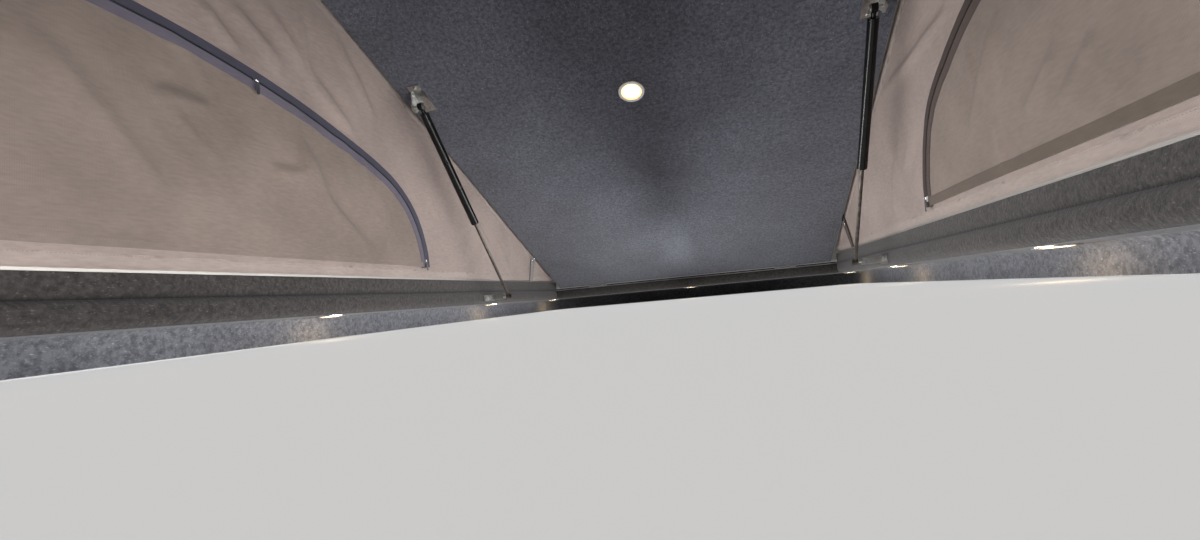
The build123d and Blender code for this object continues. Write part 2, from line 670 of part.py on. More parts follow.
def round_bar(radius, start, end):
    """Round bar on the strut's line between two distances."""
    return Pos(0, 0, (start + end) / 2) * Cylinder(radius, end - start)


def eye(distance, bore):
    """Eye at a distance along the strut's line, and the hole through it."""
    place = Pos(0, 0, distance) * Rot(0, 90, 0)
    return place * Cylinder(EYE_RADIUS, EYE_WIDTH), place * Cylinder(bore, EYE_WIDTH)


def strut_tube():
    line, _ = strut_line()
    end, pin = eye(0, PIN_RADIUS + PIN_GAP)
    neck = round_bar(EYE_WIDTH / 2 - 1, 0, TUBE_NECK)
    bore = round_bar(TUBE_RADIUS - TUBE_WALL, TUBE_NECK + TUBE_END, TUBE_LENGTH - TUBE_MOUTH)
    mouth = round_bar(ROD_RADIUS + PIN_GAP, TUBE_LENGTH - 2 * TUBE_MOUTH, TUBE_LENGTH)
    return line * (end + neck + round_bar(TUBE_RADIUS, TUBE_NECK, TUBE_LENGTH) - bore - mouth - pin)


def strut_rod():
    line, length = strut_line()
    end, pin = eye(length, PIN_RADIUS)
    start = TUBE_LENGTH - ROD_INSIDE
    piston = round_bar(TUBE_RADIUS - TUBE_WALL - PIN_GAP, start, start + PISTON)
    return line * (round_bar(ROD_RADIUS, start, length) + piston + end - pin)


def catch(rim_front):
    """Closing catch on the front rim, with the mouth that takes its keeper's hook."""
    y, low = OPENING_FRONT + RIM_ROLL, CEILING + CATCH_LOW
    wide = around(0, CATCH_WIDTH)
    body = box(wide, (y - BRACKET, y + CATCH_DEPTH), (low, low + CATCH_HEIGHT))
    body = fillet(body.edges().filter_by(Axis.X).sort_by(Axis.Y)[-2:], BRACKET)
    mouth_width, mouth_depth = CATCH_MOUTH
    top = low + CATCH_HEIGHT
    deep = (y + CATCH_DEPTH - mouth_depth, y + CATCH_DEPTH)
    mouth = box(around(0, mouth_width), deep, (top - mouth_depth, top))
    return Pos(CATCH_X, 0, 0) * (body - mouth) - rim_front


def keeper():
    """Hook plate under the front of the lined board."""
    y, z = LINING_FRONT + 1, LINING_UNDERSIDE
    plate = box(around(0, KEEPER_WIDTH), (y, y + KEEPER_DEPTH), (z - BRACKET, z))
    width, drop = KEEPER_HOOK
    hook = box(around(0, width), (y, y + BRACKET), (z - drop, z - BRACKET))
    return Pos(CATCH_X, 0, 0) * (plate + hook)


def fixed_pieces():
    """The roof panel and all that stays with it."""
    parts = {**roof_panels(), **aperture_frame(), **rims(), **ceilings(), **downlights()}
    parts.update({**canvas_rail(), **canvases(), "roof_seal": roof_seal(), "rear_seal": rear_seal()})
    parts["straps"] = pair(strap())
    parts["hinge_bases"] = pair(hinge_base())
    parts["strut_feet"] = pair(strut_foot(parts["rim_left"]))
    parts["catches"] = pair(catch(parts["rim_front"]))
    return parts


def top_pieces():
    """The moulded top and all that lifts with it, drawn closed."""
    inner = shell_block(SHELL_WALL)
    shell = shell_block(0) - inner
    for rib in shell_ribs():
        shell += rib - inner
    parts = {"roof_shell": shell, **beams(inner), "roof_lining": roof_lining(), **lamp(), **canvas_top_rail()}
    parts["hinge_leaves"] = pair(hinge_leaf())
    parts["strut_heads"] = pair(strut_head())
    parts["keepers"] = pair(keeper())
    return parts


def strut_pieces():
    parts = {}
    for side, sign in (("left", 1), ("right", -1)):
        parts[f"strut_tube_{side}"] = mirrored(strut_tube(), sign)
        parts[f"strut_rod_{side}"] = mirrored(strut_rod(), sign)
    return parts


def main():
    os.makedirs("parts", exist_ok=True)
    parts = {**fixed_pieces(), **strut_pieces()}
    parts.update({name: opened(shape) for name, shape in top_pieces().items()})
    for name, shape in parts.items():
        export_step(shape, f"parts/{name}.step")
        print(name, round(shape.volume))


main()
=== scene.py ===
# %% [markdown]
# # The elevating roof of a camper van
# A van's roof panel is cut open and framed. Over the opening a moulded top hinges at its rear edge, held up
# by two gas struts over canvas sides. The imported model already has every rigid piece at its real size, so
# these cells dress it: they give each piece its finish and model the cloth, zips, stitches and screws.

# %% Load the frame
import json
import math
import random

import bmesh
import bpy
import numpy as np
from mathutils import Matrix, Vector, geometry, noise


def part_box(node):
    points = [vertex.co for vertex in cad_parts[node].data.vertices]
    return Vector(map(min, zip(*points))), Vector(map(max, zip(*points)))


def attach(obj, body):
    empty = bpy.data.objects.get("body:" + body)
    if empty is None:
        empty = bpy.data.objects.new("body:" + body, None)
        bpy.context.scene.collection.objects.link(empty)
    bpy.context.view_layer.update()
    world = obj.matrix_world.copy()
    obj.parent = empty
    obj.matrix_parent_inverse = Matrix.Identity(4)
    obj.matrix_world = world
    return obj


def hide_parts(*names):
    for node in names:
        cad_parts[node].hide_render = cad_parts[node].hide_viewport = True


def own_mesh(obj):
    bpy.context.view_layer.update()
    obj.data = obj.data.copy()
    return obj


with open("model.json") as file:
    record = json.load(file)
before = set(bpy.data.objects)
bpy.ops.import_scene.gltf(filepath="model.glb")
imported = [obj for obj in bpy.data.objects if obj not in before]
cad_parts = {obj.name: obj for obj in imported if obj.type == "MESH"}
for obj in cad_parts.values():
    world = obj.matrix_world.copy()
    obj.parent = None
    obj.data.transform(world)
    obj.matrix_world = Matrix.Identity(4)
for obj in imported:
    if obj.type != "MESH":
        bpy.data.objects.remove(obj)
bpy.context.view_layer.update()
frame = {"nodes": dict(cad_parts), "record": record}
nodes = frame["nodes"]
hinge = next(joint for joint in frame["record"]["behaviour"]["joints"] if joint["name"] == "roof_hinge")
HINGE_Y, HINGE_Z = hinge["pos_m"][1:]
OPEN = math.radians(hinge["range_deg"][1])
print("hinge at", HINGE_Y, HINGE_Z, "and nodes", len(nodes))

# %% [markdown]
# ## The camera
# The picture was taken inside the van, looking up and back through the opening. A camera has a place, three
# turns and a focal length. Yaw turns it about Z, pitch lifts it and roll tilts the frame, so the clearest way
# is to work out its three axes from those angles and hand Blender the matrix, with no target to aim at.

# %% Camera
CAMERA_PLACE = Vector((0.197, -1.018, 0.037))
CAMERA_YAW, CAMERA_PITCH, CAMERA_ROLL = 15.08, 3.35, 5.22
CAMERA_LENS, CAMERA_SENSOR = 14.84, 36
CAMERA_NEAR = 0.005
yaw, pitch, roll = (math.radians(turn) for turn in (CAMERA_YAW, CAMERA_PITCH, CAMERA_ROLL))
ahead = Vector((-math.sin(yaw) * math.cos(pitch), math.cos(yaw) * math.cos(pitch), math.sin(pitch)))
level = Vector((math.cos(yaw), math.sin(yaw), 0))
upright = level.cross(ahead)
right = math.cos(roll) * level - math.sin(roll) * upright
up = math.sin(roll) * level + math.cos(roll) * upright
camera = bpy.data.objects.new("camera", bpy.data.cameras.new("camera"))
bpy.context.collection.objects.link(camera)
camera.data.lens = CAMERA_LENS
camera.data.sensor_width = CAMERA_SENSOR
camera.data.clip_start = CAMERA_NEAR
camera.matrix_world = Matrix.Translation(CAMERA_PLACE) @ Matrix((right, up, -ahead)).transposed().to_4x4()
bpy.context.scene.camera = camera
print("camera looks along", [round(v, 3) for v in ahead])

# %% [markdown]
# ## Helpers for finishes
# Every finish here starts as one shader with its own roughness and metal, then gets colour variation and a
# bump. Textures read the object's own coordinates, which are metres on this model, so a scale is a count of
# features per metre and the grain stays on the piece when it moves. UV maps would do it too, but then each
# piece would have to be unwrapped.

# %% Shader and texture helpers
def finish(name, colour, roughness, metal=0.0):
    """A new material and its shader."""
    material = bpy.data.materials.new(name)
    material.use_nodes = True
    shader = material.node_tree.nodes["Principled BSDF"]
    shader.inputs["Base Color"].default_value = (*colour, 1)
    shader.inputs["Roughness"].default_value = roughness
    shader.inputs["Metallic"].default_value = metal
    material.diffuse_color = (*colour, 1)
    return material, shader


def metres(material, stretch=(1, 1, 1)):
    """Place on the piece in metres, stretched along an axis for grain or brushing."""
    tree = material.node_tree
    place = tree.nodes.new("ShaderNodeTexCoord")
    scale = tree.nodes.new("ShaderNodeMapping")
    scale.inputs["Scale"].default_value = stretch
    tree.links.new(place.outputs["Object"], scale.inputs["Vector"])
    return scale.outputs["Vector"]


def speckle(material, scale, detail=3.0, stretch=(1, 1, 1), rough=0.5):
    """Noise with so many features a metre."""
    tree = material.node_tree
    texture = tree.nodes.new("ShaderNodeTexNoise")
    texture.inputs["Scale"].default_value = scale
    texture.inputs["Detail"].default_value = detail
    texture.inputs["Roughness"].default_value = rough
    tree.links.new(metres(material, stretch), texture.inputs["Vector"])
    return texture.outputs["Fac"]


def threads(material, scale, axis):
    """Fine even ridges across one axis."""
    tree = material.node_tree
    texture = tree.nodes.new("ShaderNodeTexWave")
    texture.bands_direction = axis
    texture.inputs["Scale"].default_value = scale
    texture.inputs["Distortion"].default_value = 0.6
    texture.inputs["Detail"].default_value = 1.0
    tree.links.new(metres(material), texture.inputs["Vector"])
    return texture.outputs["Fac"]


print("texture helpers are ready")

# %% [markdown]
# ## Helpers for colour and bump
# A texture gives a grey amount. A colour ramp turns it into the shades of the real surface, a mix lays one
# texture over another, and a bump node reads it as height. Each helper adds one such node and hands back its
# socket, so that a finish reads as a short recipe.

# %% Colour and bump helpers
def shades(material, amount, stops):
    """Turns an amount into colours: a list of (place, colour)."""
    tree = material.node_tree
    ramp = tree.nodes.new("ShaderNodeValToRGB")
    while len(ramp.color_ramp.elements) < len(stops):
        ramp.color_ramp.elements.new(0.5)
    for element, (place, colour) in zip(ramp.color_ramp.elements, stops):
        element.position = place
        element.color = (*colour, 1)
    tree.links.new(amount, ramp.inputs["Fac"])
    return ramp.outputs["Color"]


def tint(material, first, second, amount=1.0, way="MULTIPLY"):
    """Mixes two colours."""
    tree = material.node_tree
    mix = tree.nodes.new("ShaderNodeMix")
    mix.data_type = "RGBA"
    mix.blend_type = way
    mix.inputs["Factor"].default_value = amount
    tree.links.new(first, mix.inputs["A"])
    tree.links.new(second, mix.inputs["B"])
    return mix.outputs["Result"]


def maths(tree, operation, *values):
    """A Math node fed by sockets or plain numbers."""
    node = tree.nodes.new("ShaderNodeMath")
    node.operation = operation
    for socket, value in zip(node.inputs, values):
        if isinstance(value, bpy.types.NodeSocket):
            tree.links.new(value, socket)
        else:
            socket.default_value = value
    return node.outputs[0]


def relief(material, shader, height, depth, strength=1.0, below=None):
    """Bumps the surface by a height, over another bump if one is given."""
    tree = material.node_tree
    bump = tree.nodes.new("ShaderNodeBump")
    bump.inputs["Distance"].default_value = depth
    bump.inputs["Strength"].default_value = strength
    tree.links.new(height, bump.inputs["Height"])
    if below is not None:
        tree.links.new(below, bump.inputs["Normal"])
    tree.links.new(bump.outputs["Normal"], shader.inputs["Normal"])
    return bump.outputs["Normal"]


def paint(material, shader, colours):
    """Gives the shader a colour that varies."""
    material.node_tree.links.new(colours, shader.inputs["Base Color"])


def dress(material, slot, *names):
    """Puts a finish on nodes of the model."""
    for name in names:
        nodes[name].data.materials.clear()
        nodes[name].data.materials.append(material)


print("colour helpers are ready")

# %% [markdown]
# ## Felt lining
# The roof board, the rolled rim and the ceiling panels are covered in a needled carpet felt. Real felt is a
# mat of short fibres in several shades, so close up it is a mottle of slate, near black and a few pale
# hairs, with no shine. Particle hair could give every fibre, but from a step away noise at three sizes gives
# the same mottle, and a soft sheen gives the fuzz at its edges. The one felt is given three tints: the
# ceiling's is lighter as painted light and the rim's darker as painted shade. Where the rim's two rolls meet,
# its colour also darkens within a few millimetres of that height, as a painted shadow in the crease.

# %% Felt
# Three tints of one felt. The ceiling's is lighter, as painted light for the light that falls on the ceiling
# panels, and the rim's is darker, as painted shade for rims that face away from it.
FELT = {
    "felt_lining": ((0.038, 0.041, 0.055), (0.090, 0.095, 0.121), (0.15, 0.15, 0.17)),
    "felt_rim_painted_shade": ((0.017, 0.015, 0.015), (0.046, 0.040, 0.038), (0.07, 0.062, 0.055)),
    "felt_ceiling_painted_light": ((0.085, 0.088, 0.102), (0.190, 0.194, 0.215), (0.22, 0.22, 0.23)),
}
FELT_CLUMPS = 125
FELT_FIBRES = 420
FELT_DEPTH = 0.0012
# Height of the rim's crease, and half the width of the painted shadow along it.
RIM_CREASE_Z = 0.095
CREASE_SHADOW_HALF = 0.011


def painted_crease_shadow(material, height):
    """Grey that darkens within a few millimetres of a height, a painted shadow in a crease."""
    tree = material.node_tree
    split = tree.nodes.new("ShaderNodeSeparateXYZ")
    tree.links.new(metres(material), split.inputs[0])
    gap = maths(tree, "ABSOLUTE", maths(tree, "SUBTRACT", split.outputs["Z"], height))
    share = maths(tree, "DIVIDE", gap, CREASE_SHADOW_HALF)
    return shades(material, share, [(0.12, (0.22,) * 3), (0.45, (0.85,) * 3), (1.0, (1.12,) * 3)])


def felt(name, crease=None):
    """Needled felt, with a painted shadow in a crease at some height if one is given."""
    dark, light, hair = FELT[name]
    material, shader = finish(name, light, 0.95)
    clumps = shades(material, speckle(material, FELT_CLUMPS, 5, rough=0.62), [(0.36, dark), (0.62, light)])
    fibres = speckle(material, FELT_FIBRES, 3, stretch=(1.0, 0.45, 1.0))
    hairs = shades(material, fibres, [(0.60, (0, 0, 0)), (0.72, hair)])
    cloudy = shades(material, speckle(material, 6, 2), [(0.3, (0.82,) * 3), (0.7, (1.12,) * 3)])
    colours = tint(material, tint(material, clumps, hairs, 0.8, "ADD"), cloudy)
    # Painted shadow: the colour darkens near the crease's height.
    if crease is not None:
        colours = tint(material, colours, painted_crease_shadow(material, crease))
    paint(material, shader, colours)
    shader.inputs["Sheen Weight"].default_value = 0.25
    shader.inputs["Sheen Roughness"].default_value = 0.6
    shader.inputs["Specular IOR Level"].default_value = 0.15
    clump_bump = relief(material, shader, speckle(material, FELT_CLUMPS * 1.7, 4), FELT_DEPTH, 0.9)
    relief(material, shader, fibres, FELT_DEPTH * 0.4, 0.7, clump_bump)
    return material


# The ceiling panels and coving take the lighter tint as painted light, and the rims take the darker one as
# painted shade.
lining_felt, lit_ceiling_felt = felt("felt_lining"), felt("felt_ceiling_painted_light")
shaded_rim_felt = felt("felt_rim_painted_shade", RIM_CREASE_Z)
dress(lining_felt, "felt", "roof_lining")
dress(shaded_rim_felt, "felt", "rim_left", "rim_right", "rim_front", "rim_rear")
dress(lit_ceiling_felt, "felt", "ceiling_left", "ceiling_right", "ceiling_front", "ceiling_rear")
dress(lit_ceiling_felt, "felt", "coving", "coving_corners")
print("felt on", len(FELT), "kinds of panel")

# %% [markdown]
# ## Paint, gelcoat and rubber
# Outside, the roof panel is painted steel and the top is moulded with a white gelcoat. Both are smooth, so
# what tells them apart is small: paint has a faint orange peel under a clear coat, and gelcoat is a little
# waxier. Road film is a barely darker cloud. One function makes all three coats, because only their colour,
# gloss and peel differ. The seals are dull black rubber with a grey bloom.

# %% Outside finishes
DUST = 0.975


def coated(name, colour, roughness, peel, coat):
    """Smooth coated surface with a faint orange peel and a film of dust."""
    material, shader = finish(name, colour, roughness)
    dusty = tuple(c * DUST for c in colour)
    paint(material, shader, shades(material, speckle(material, 4, 4), [(0.35, dusty), (0.65, colour)]))
    shader.inputs["Coat Weight"].default_value = coat
    shader.inputs["Coat Roughness"].default_value = 0.08
    relief(material, shader, speckle(material, peel, 2), 0.0002, 0.35)
    return material


roof_paint = coated("roof_paint", (0.72, 0.73, 0.73), 0.30, 260, 0.7)
gelcoat = coated("gelcoat", (0.76, 0.76, 0.745), 0.34, 140, 0.4)
frame_paint = coated("frame_paint", (0.62, 0.63, 0.63), 0.45, 300, 0.1)
dress(roof_paint, "roof_paint", "roof_skin", "cantrails", "cantrail_corners")
dress(gelcoat, "gelcoat", "roof_shell")
dress(frame_paint, "frame_paint", "frame_left", "frame_right", "frame_front", "frame_rear")


def rubber_finish():
    material, shader = finish("rubber", (0.022, 0.022, 0.023), 0.72)
    bloom = shades(material, speckle(material, 40, 4), [(0.4, (0.016,) * 3), (0.7, (0.036,) * 3)])
    paint(material, shader, bloom)
    relief(material, shader, speckle(material, 900, 2), 0.0003, 0.5)
    return material


rubber = rubber_finish()
dress(rubber, "rubber", "roof_seal", "rear_seal")
print("paint, gelcoat and rubber are on")

# %% [markdown]
# ## Metal
# The canvas rails are drawn aluminium, whose die leaves long fine lines. Brackets and hinges are zinc plated
# steel, cloudy with pale crystals. The strut is a black painted tube on a hard chromed rod. Stretching the
# noise along a rail's length gives the die lines, and on small parts a fine even noise is enough.

# %% Metal finishes
def drawn(name, colour, roughness, stretch):
    """Metal with long fine lines along its length."""
    material, shader = finish(name, colour, roughness, 1.0)
    lines = speckle(material, 700, 3, stretch=stretch)
    paint(material, shader, shades(material, lines, [(0.3, tuple(c * 0.8 for c in colour)), (0.7, colour)]))
    relief(material, shader, lines, 0.0001, 0.4)
    return material


def plated(name, colour, roughness):
    """Zinc plate with cloudy crystals and small dull spots."""
    material, shader = finish(name, colour, roughness, 1.0)
    clouds = speckle(material, 160, 4, rough=0.7)
    dull = tuple(c * 0.62 for c in colour)
    paint(material, shader, shades(material, clouds, [(0.3, dull), (0.68, colour)]))
    relief(material, shader, speckle(material, 900, 2), 0.0001, 0.3)
    return material


RAIL_GREY, RAIL_ROUGH = (0.52, 0.495, 0.465), 0.46
rail_metal = drawn("rail_metal", RAIL_GREY, RAIL_ROUGH, (1, 0.02, 1))
cross_rail_metal = drawn("cross_rail_metal", RAIL_GREY, RAIL_ROUGH, (0.02, 1, 1))
zinc = plated("zinc", (0.66, 0.66, 0.64), 0.30)
hinge_steel = plated("hinge_steel", (0.58, 0.58, 0.58), 0.38)
dress(rail_metal, "rail", "rail_left", "rail_right", "top_rail_left", "top_rail_right")
dress(cross_rail_metal, "rail", "rail_front", "top_rail_front")
dress(zinc, "zinc", "strut_feet", "strut_heads")
dress(hinge_steel, "hinge_steel", "hinge_bases", "hinge_leaves")
print("rails and brackets are metal")

# %% [markdown]
# ## The gas struts
# A strut's tube is enamelled black, so smooth that only a thin line of light shows along it. Its rod is hard
# chromed steel. It is given a patchy dark warm grey metal colour, a painted reflection of the dark felt round
# it, under a moderate roughness so that it is not a mirror.

# %% Strut finishes
def strut_finishes():
    black, shader = finish("strut_black", (0.008, 0.008, 0.009), 0.16)
    paint(black, shader, shades(black, speckle(black, 30, 3), [(0.4, (0.004,) * 3), (0.7, (0.009,) * 3)]))
    shader.inputs["Specular IOR Level"].default_value = 0.25
    relief(black, shader, speckle(black, 500, 2), 0.0001, 0.3)
    chrome, shader = finish("strut_rod", (0.12, 0.105, 0.095), 0.34, 1.0)
    # Painted reflection: the rod's dark warm grey stands in for the dark felt that it reflects.
    patchy_painted_reflection = shades(chrome, speckle(chrome, 60, 3), [(0.4, (0.085, 0.072, 0.062)), (0.7, (0.15, 0.135, 0.12))])
    paint(chrome, shader, patchy_painted_reflection)
    return black, chrome


strut_black, strut_chrome = strut_finishes()
dress(strut_black, "strut_black", "strut_tube_left", "strut_tube_right")
dress(strut_chrome, "rod_steel", "strut_rod_left", "strut_rod_right")
print("struts are on")

# %% [markdown]
# ## Timber, plastic and lamps
# The top's stiffening beams are sealed timber, which shows only under the skirt, so long grain and a satin
# shine are enough. The catches are black moulded nylon with a fine spark texture, which a small even bump
# gives.

# %% Timber and plastic
def beam_timber():
    material, shader = finish("beam_timber", (0.42, 0.29, 0.17), 0.6)
    grain = speckle(material, 60, 6, stretch=(1, 0.06, 1), rough=0.6)
    paint(material, shader, shades(material, grain, [(0.35, (0.30, 0.19, 0.10)), (0.65, (0.50, 0.36, 0.22))]))
    relief(material, shader, grain, 0.0004, 0.5)
    return material


def catch_nylon():
    material, shader = finish("catch_nylon", (0.020, 0.020, 0.021), 0.5)
    worn = shades(material, speckle(material, 120, 3), [(0.4, (0.016,) * 3), (0.7, (0.034,) * 3)])
    paint(material, shader, worn)
    relief(material, shader, speckle(material, 1400, 2), 0.0002, 0.6)
    return material


dress(beam_timber(), "beam", "beam_left", "beam_right", "beam_front", "beam_rear")
dress(catch_nylon(), "catch_plastic", "catches", "keepers")
print("timber and plastic are on")

# %% [markdown]
# ## Lamps
# A lamp is a polished bezel round a frosted lens, which is white at its middle and amber at its rim. A real
# lamp object behind glass would be slow to render and would be lost from the exported model, so the light is
# the lens's own emission. Its colour goes by the distance from the nearest lamp's centre, worked out on the
# piece itself.

# %% Lamp finishes
LAMP_GLOW, DOWNLIGHT_GLOW = 3.2, 12.0
LAMP_RADIUS, DOWNLIGHT_RADIUS = 0.026, 0.023
DOWNLIGHT_X, DOWNLIGHT_Y = 0.667, (-0.120, 0.620, 1.255)
LAMP_RINGS = [(0.0, (1.0, 0.93, 0.78)), (0.62, (1.0, 0.80, 0.46)), (0.95, (1.0, 0.50, 0.16))]


def distance_from(material, centre):
    tree = material.node_tree
    measure = tree.nodes.new("ShaderNodeVectorMath")
    measure.operation = "DISTANCE"
    measure.inputs[1].default_value = centre
    tree.links.new(metres(material), measure.inputs[0])
    return measure.outputs["Value"]


def lamp_finish(name, glow, centres, radius):
    """Frosted lens that glows white at its middle and amber at its rim."""
    lens, shader = finish(name, (1.0, 0.86, 0.62), 0.35)
    tree = lens.node_tree
    nearest, *others = [distance_from(lens, centre) for centre in centres]
    for other in others:
        nearest = maths(tree, "MINIMUM", nearest, other)
    rings = shades(lens, maths(tree, "DIVIDE", nearest, radius), LAMP_RINGS)
    frost = shades(lens, speckle(lens, 1200, 2), [(0.3, (0.93,) * 3), (0.7, (1.0,) * 3)])
    glowing = tint(lens, rings, frost)
    paint(lens, shader, glowing)
    tree.links.new(glowing, shader.inputs["Emission Color"])
    shader.inputs["Emission Strength"].default_value = glow
    return lens


lamp_low, lamp_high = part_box("lamp_lens")
downlight_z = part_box("downlight_lenses")[0].z
downlight_centres = [(x, y, downlight_z) for x in (-DOWNLIGHT_X, DOWNLIGHT_X) for y in DOWNLIGHT_Y]
downlight_centres.append((0, DOWNLIGHT_Y[-1], downlight_z))
lamp_lens = lamp_finish("lamp_lens", LAMP_GLOW, [(lamp_low + lamp_high) / 2], LAMP_RADIUS)
downlight_lens = lamp_finish("downlight_lens", DOWNLIGHT_GLOW, downlight_centres, DOWNLIGHT_RADIUS)
dress(lamp_lens, "lens", "lamp_lens")
dress(downlight_lens, "lens", "downlight_lenses")
dress(plated("bezel_chrome", (0.78, 0.77, 0.75), 0.18), "bezel", "lamp_bezel", "downlight_bezels")
print("lamps are on:", 1 + len(downlight_centres))

# %% [markdown]
# ## Canvas
# The sides are a close woven polyester canvas in a warm grey. It is thin enough that daylight outside shows
# through it, so its shader is part translucent, which full transmission would make glassy. The weave is
# finer than a picture can show, so the bump uses thread ridges a few times coarser, under soft mottling
# where the cloth is handled and folded. The same recipe, darker and closer, makes straps and bindings.

# %% Canvas finish
CANVAS_THREADS = 230
THREAD_DEPTH = 0.0004


def cloth(name, colour, through, mottle=0.10):
    """Woven cloth that lets some light through."""
    material, shader = finish(name, colour, 0.86)
    tree = material.node_tree
    low, high = (tuple(c * k for c in colour) for k in (1 - mottle, 1 + mottle * 0.6))
    patches = shades(material, speckle(material, 7, 4), [(0.32, low), (0.68, high)])
    thick_threads = speckle(material, 240, 3, stretch=(1, 0.25, 1))
    slubs = shades(material, thick_threads, [(0.3, (0.9,) * 3), (0.7, (1.05,) * 3)])
    colours = tint(material, patches, slubs)
    paint(material, shader, colours)
    shader.inputs["Specular IOR Level"].default_value = 0.2
    shader.inputs["Sheen Weight"].default_value = 0.15
    weave = None
    for axis in "YZ":
        weave = relief(material, shader, threads(material, CANVAS_THREADS, axis), THREAD_DEPTH, 0.35, weave)
    glow = tree.nodes.new("ShaderNodeBsdfTranslucent")
    tree.links.new(colours, glow.inputs["Color"])
    tree.links.new(weave, glow.inputs["Normal"])
    blend = tree.nodes.new("ShaderNodeMixShader")
    blend.inputs["Fac"].default_value = through
    tree.links.new(shader.outputs["BSDF"], blend.inputs[1])
    tree.links.new(glow.outputs["BSDF"], blend.inputs[2])
    tree.links.new(blend.outputs["Shader"], tree.nodes["Material Output"].inputs["Surface"])
    return material


canvas_cloth = cloth("canvas_cloth", (0.47, 0.390, 0.358), 0.35)
flap_cloth = cloth("flap_cloth", (0.275, 0.222, 0.193), 0.15, 0.16)
binding = cloth("binding", (0.20, 0.165, 0.145), 0.0)
print("cloth finishes are made")

# %% [markdown]
# ## The canvas surfaces
# A side canvas hangs between the rail on the roof's frame and the rail on the tilted top. The two rails lie
# at different widths, so the cloth is a ruled surface: at each place along it, a straight line runs from the
# low rail to the high one. It could be a bent plane with a modifier, but working out X from Y and Z gives one
# exact surface that the cloth, the flap, the zip tape and every stitch can share.

# %% The side canvas's surface
CLOTH = 0.0015
CANVAS_CORE = 0.0015
REAR_FOOT_Y = 1.0403
FRONT_CLOSED_Y, SEAM_CLOSED_Z = -1.209, 0.1037
canvas_low, canvas_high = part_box("canvas_left")
FRONT_FOOT_Y, SILL_Z = canvas_low.y, canvas_low.z
LOW_X, HIGH_X = canvas_high.x - CANVAS_CORE, canvas_low.x + CANVAS_CORE


def opened(y, z):
    """Y and Z of a point of the closed top once it is open."""
    dy, dz = y - HINGE_Y, z - HINGE_Z
    cos, sin = math.cos(OPEN), math.sin(OPEN)
    return HINGE_Y + dy * cos + dz * sin, HINGE_Z - dy * sin + dz * cos


FRONT_TOP = opened(FRONT_CLOSED_Y, SEAM_CLOSED_Z)
REAR_TOP = opened(REAR_FOOT_Y, SEAM_CLOSED_Z)
SIDE_OUTLINE = [(FRONT_FOOT_Y, SILL_Z), (REAR_FOOT_Y, SILL_Z), REAR_TOP, FRONT_TOP]


def side_x(at):
    """X of the left canvas's middle surface at places (y, z)."""
    y, z = at[:, 0], at[:, 1]
    low_span, lean = REAR_FOOT_Y - FRONT_FOOT_Y, FRONT_TOP[0] - FRONT_FOOT_Y
    up = np.zeros(len(at))
    for _ in range(6):
        along = (y - FRONT_FOOT_Y - lean * up) / (low_span + (REAR_TOP[0] - REAR_FOOT_Y - lean) * up)
        along = np.clip(along, 0, 1)
        height = FRONT_TOP[1] - SILL_Z + along * (REAR_TOP[1] - FRONT_TOP[1])
        up = np.clip((z - SILL_Z) / height, 0, 1)
    return LOW_X + up * (HIGH_X - LOW_X)


print("side canvas from", [round(v, 3) for v in FRONT_TOP], "to", [round(v, 3) for v in REAR_TOP])

# %% [markdown]
# ## Outlines
# The window flap has a foot, a shoulder and a crest, and bowed edges between them. An edge bowed by a known
# height is an arc of a circle, which three numbers fix. A curve object could draw it, but the arc's points
# are needed again for the zip and the stitches, so a short function works them out.

# %% Bowed edges
EDGE_GAP = 0.008


def bowed(start, end, rise, gap=EDGE_GAP):
    """Points of an arc from start to end that bows to its right by a rise."""
    start, end = np.array(start), np.array(end)
    chord = np.linalg.norm(end - start)
    count = max(2, round(chord / gap))
    t = np.linspace(0, 1, count + 1)[:, None]
    line = start + (end - start) * t
    if not rise:
        return line
    radius = (chord**2 / 4 + rise**2) / (2 * rise)
    off = np.sqrt(radius**2 - (chord * (t - 0.5)) ** 2) - (radius - rise)
    across = np.array([end[1] - start[1], start[0] - end[0]]) / chord
    return line + across * off


def dense(corners, gap=0.01):
    """Outline through corners, with places at a gap."""
    ends = zip(corners, list(corners[1:]) + [corners[0]])
    return np.vstack([bowed(a, b, 0, gap)[:-1] for a, b in ends])


def closed_line(points):
    return np.vstack([points, points[:1]])


canvas_edge = dense(SIDE_OUTLINE, EDGE_GAP)
side_border = closed_line(np.array(SIDE_OUTLINE))
print("side canvas outline of", len(canvas_edge), "points")

# %% [markdown]
# ## Inside an outline
# The window's cut edge, the zip's tapes and the seams all run at a fixed distance inside the flap's edge.
# Offsetting an outline inward could be left to a curve tool, but here the points of each edge are moved along
# its own normal and those that end up too near another edge are dropped, which keeps the corners clean.

# %% Offsets
FLAP_SILL = SILL_Z + 0.030
FLAP_CORNERS = [(0.155, FLAP_SILL), (-0.020, 0.3973), (-0.620, 0.5253), (-0.999, 0.3803), (-1.090, FLAP_SILL)]
FLAP_RISES = (0.040, 0.028, 0.041, 0.024)
FLAP_LAP = 0.016


def away(at, line):
    """Distance of places from a line of points."""
    best = np.full(len(at), 9.0)
    for a, b in zip(line[:-1], line[1:]):
        run = b - a
        t = np.clip(((at - a) @ run) / (run @ run + 1e-12), 0, 1)
        best = np.minimum(best, np.linalg.norm(at - a - t[:, None] * run, axis=1))
    return best


def within(at, outline):
    """Which places lie inside a closed outline."""
    x, y = at[:, 0], at[:, 1]
    result = np.zeros(len(at), bool)
    for a, b in zip(outline, np.roll(outline, -1, axis=0)):
        crosses = (a[1] > y) != (b[1] > y)
        edge = (b[0] - a[0]) * (y - a[1]) / (b[1] - a[1] + 1e-15) + a[0]
        result ^= crosses & (x < edge)
    return result


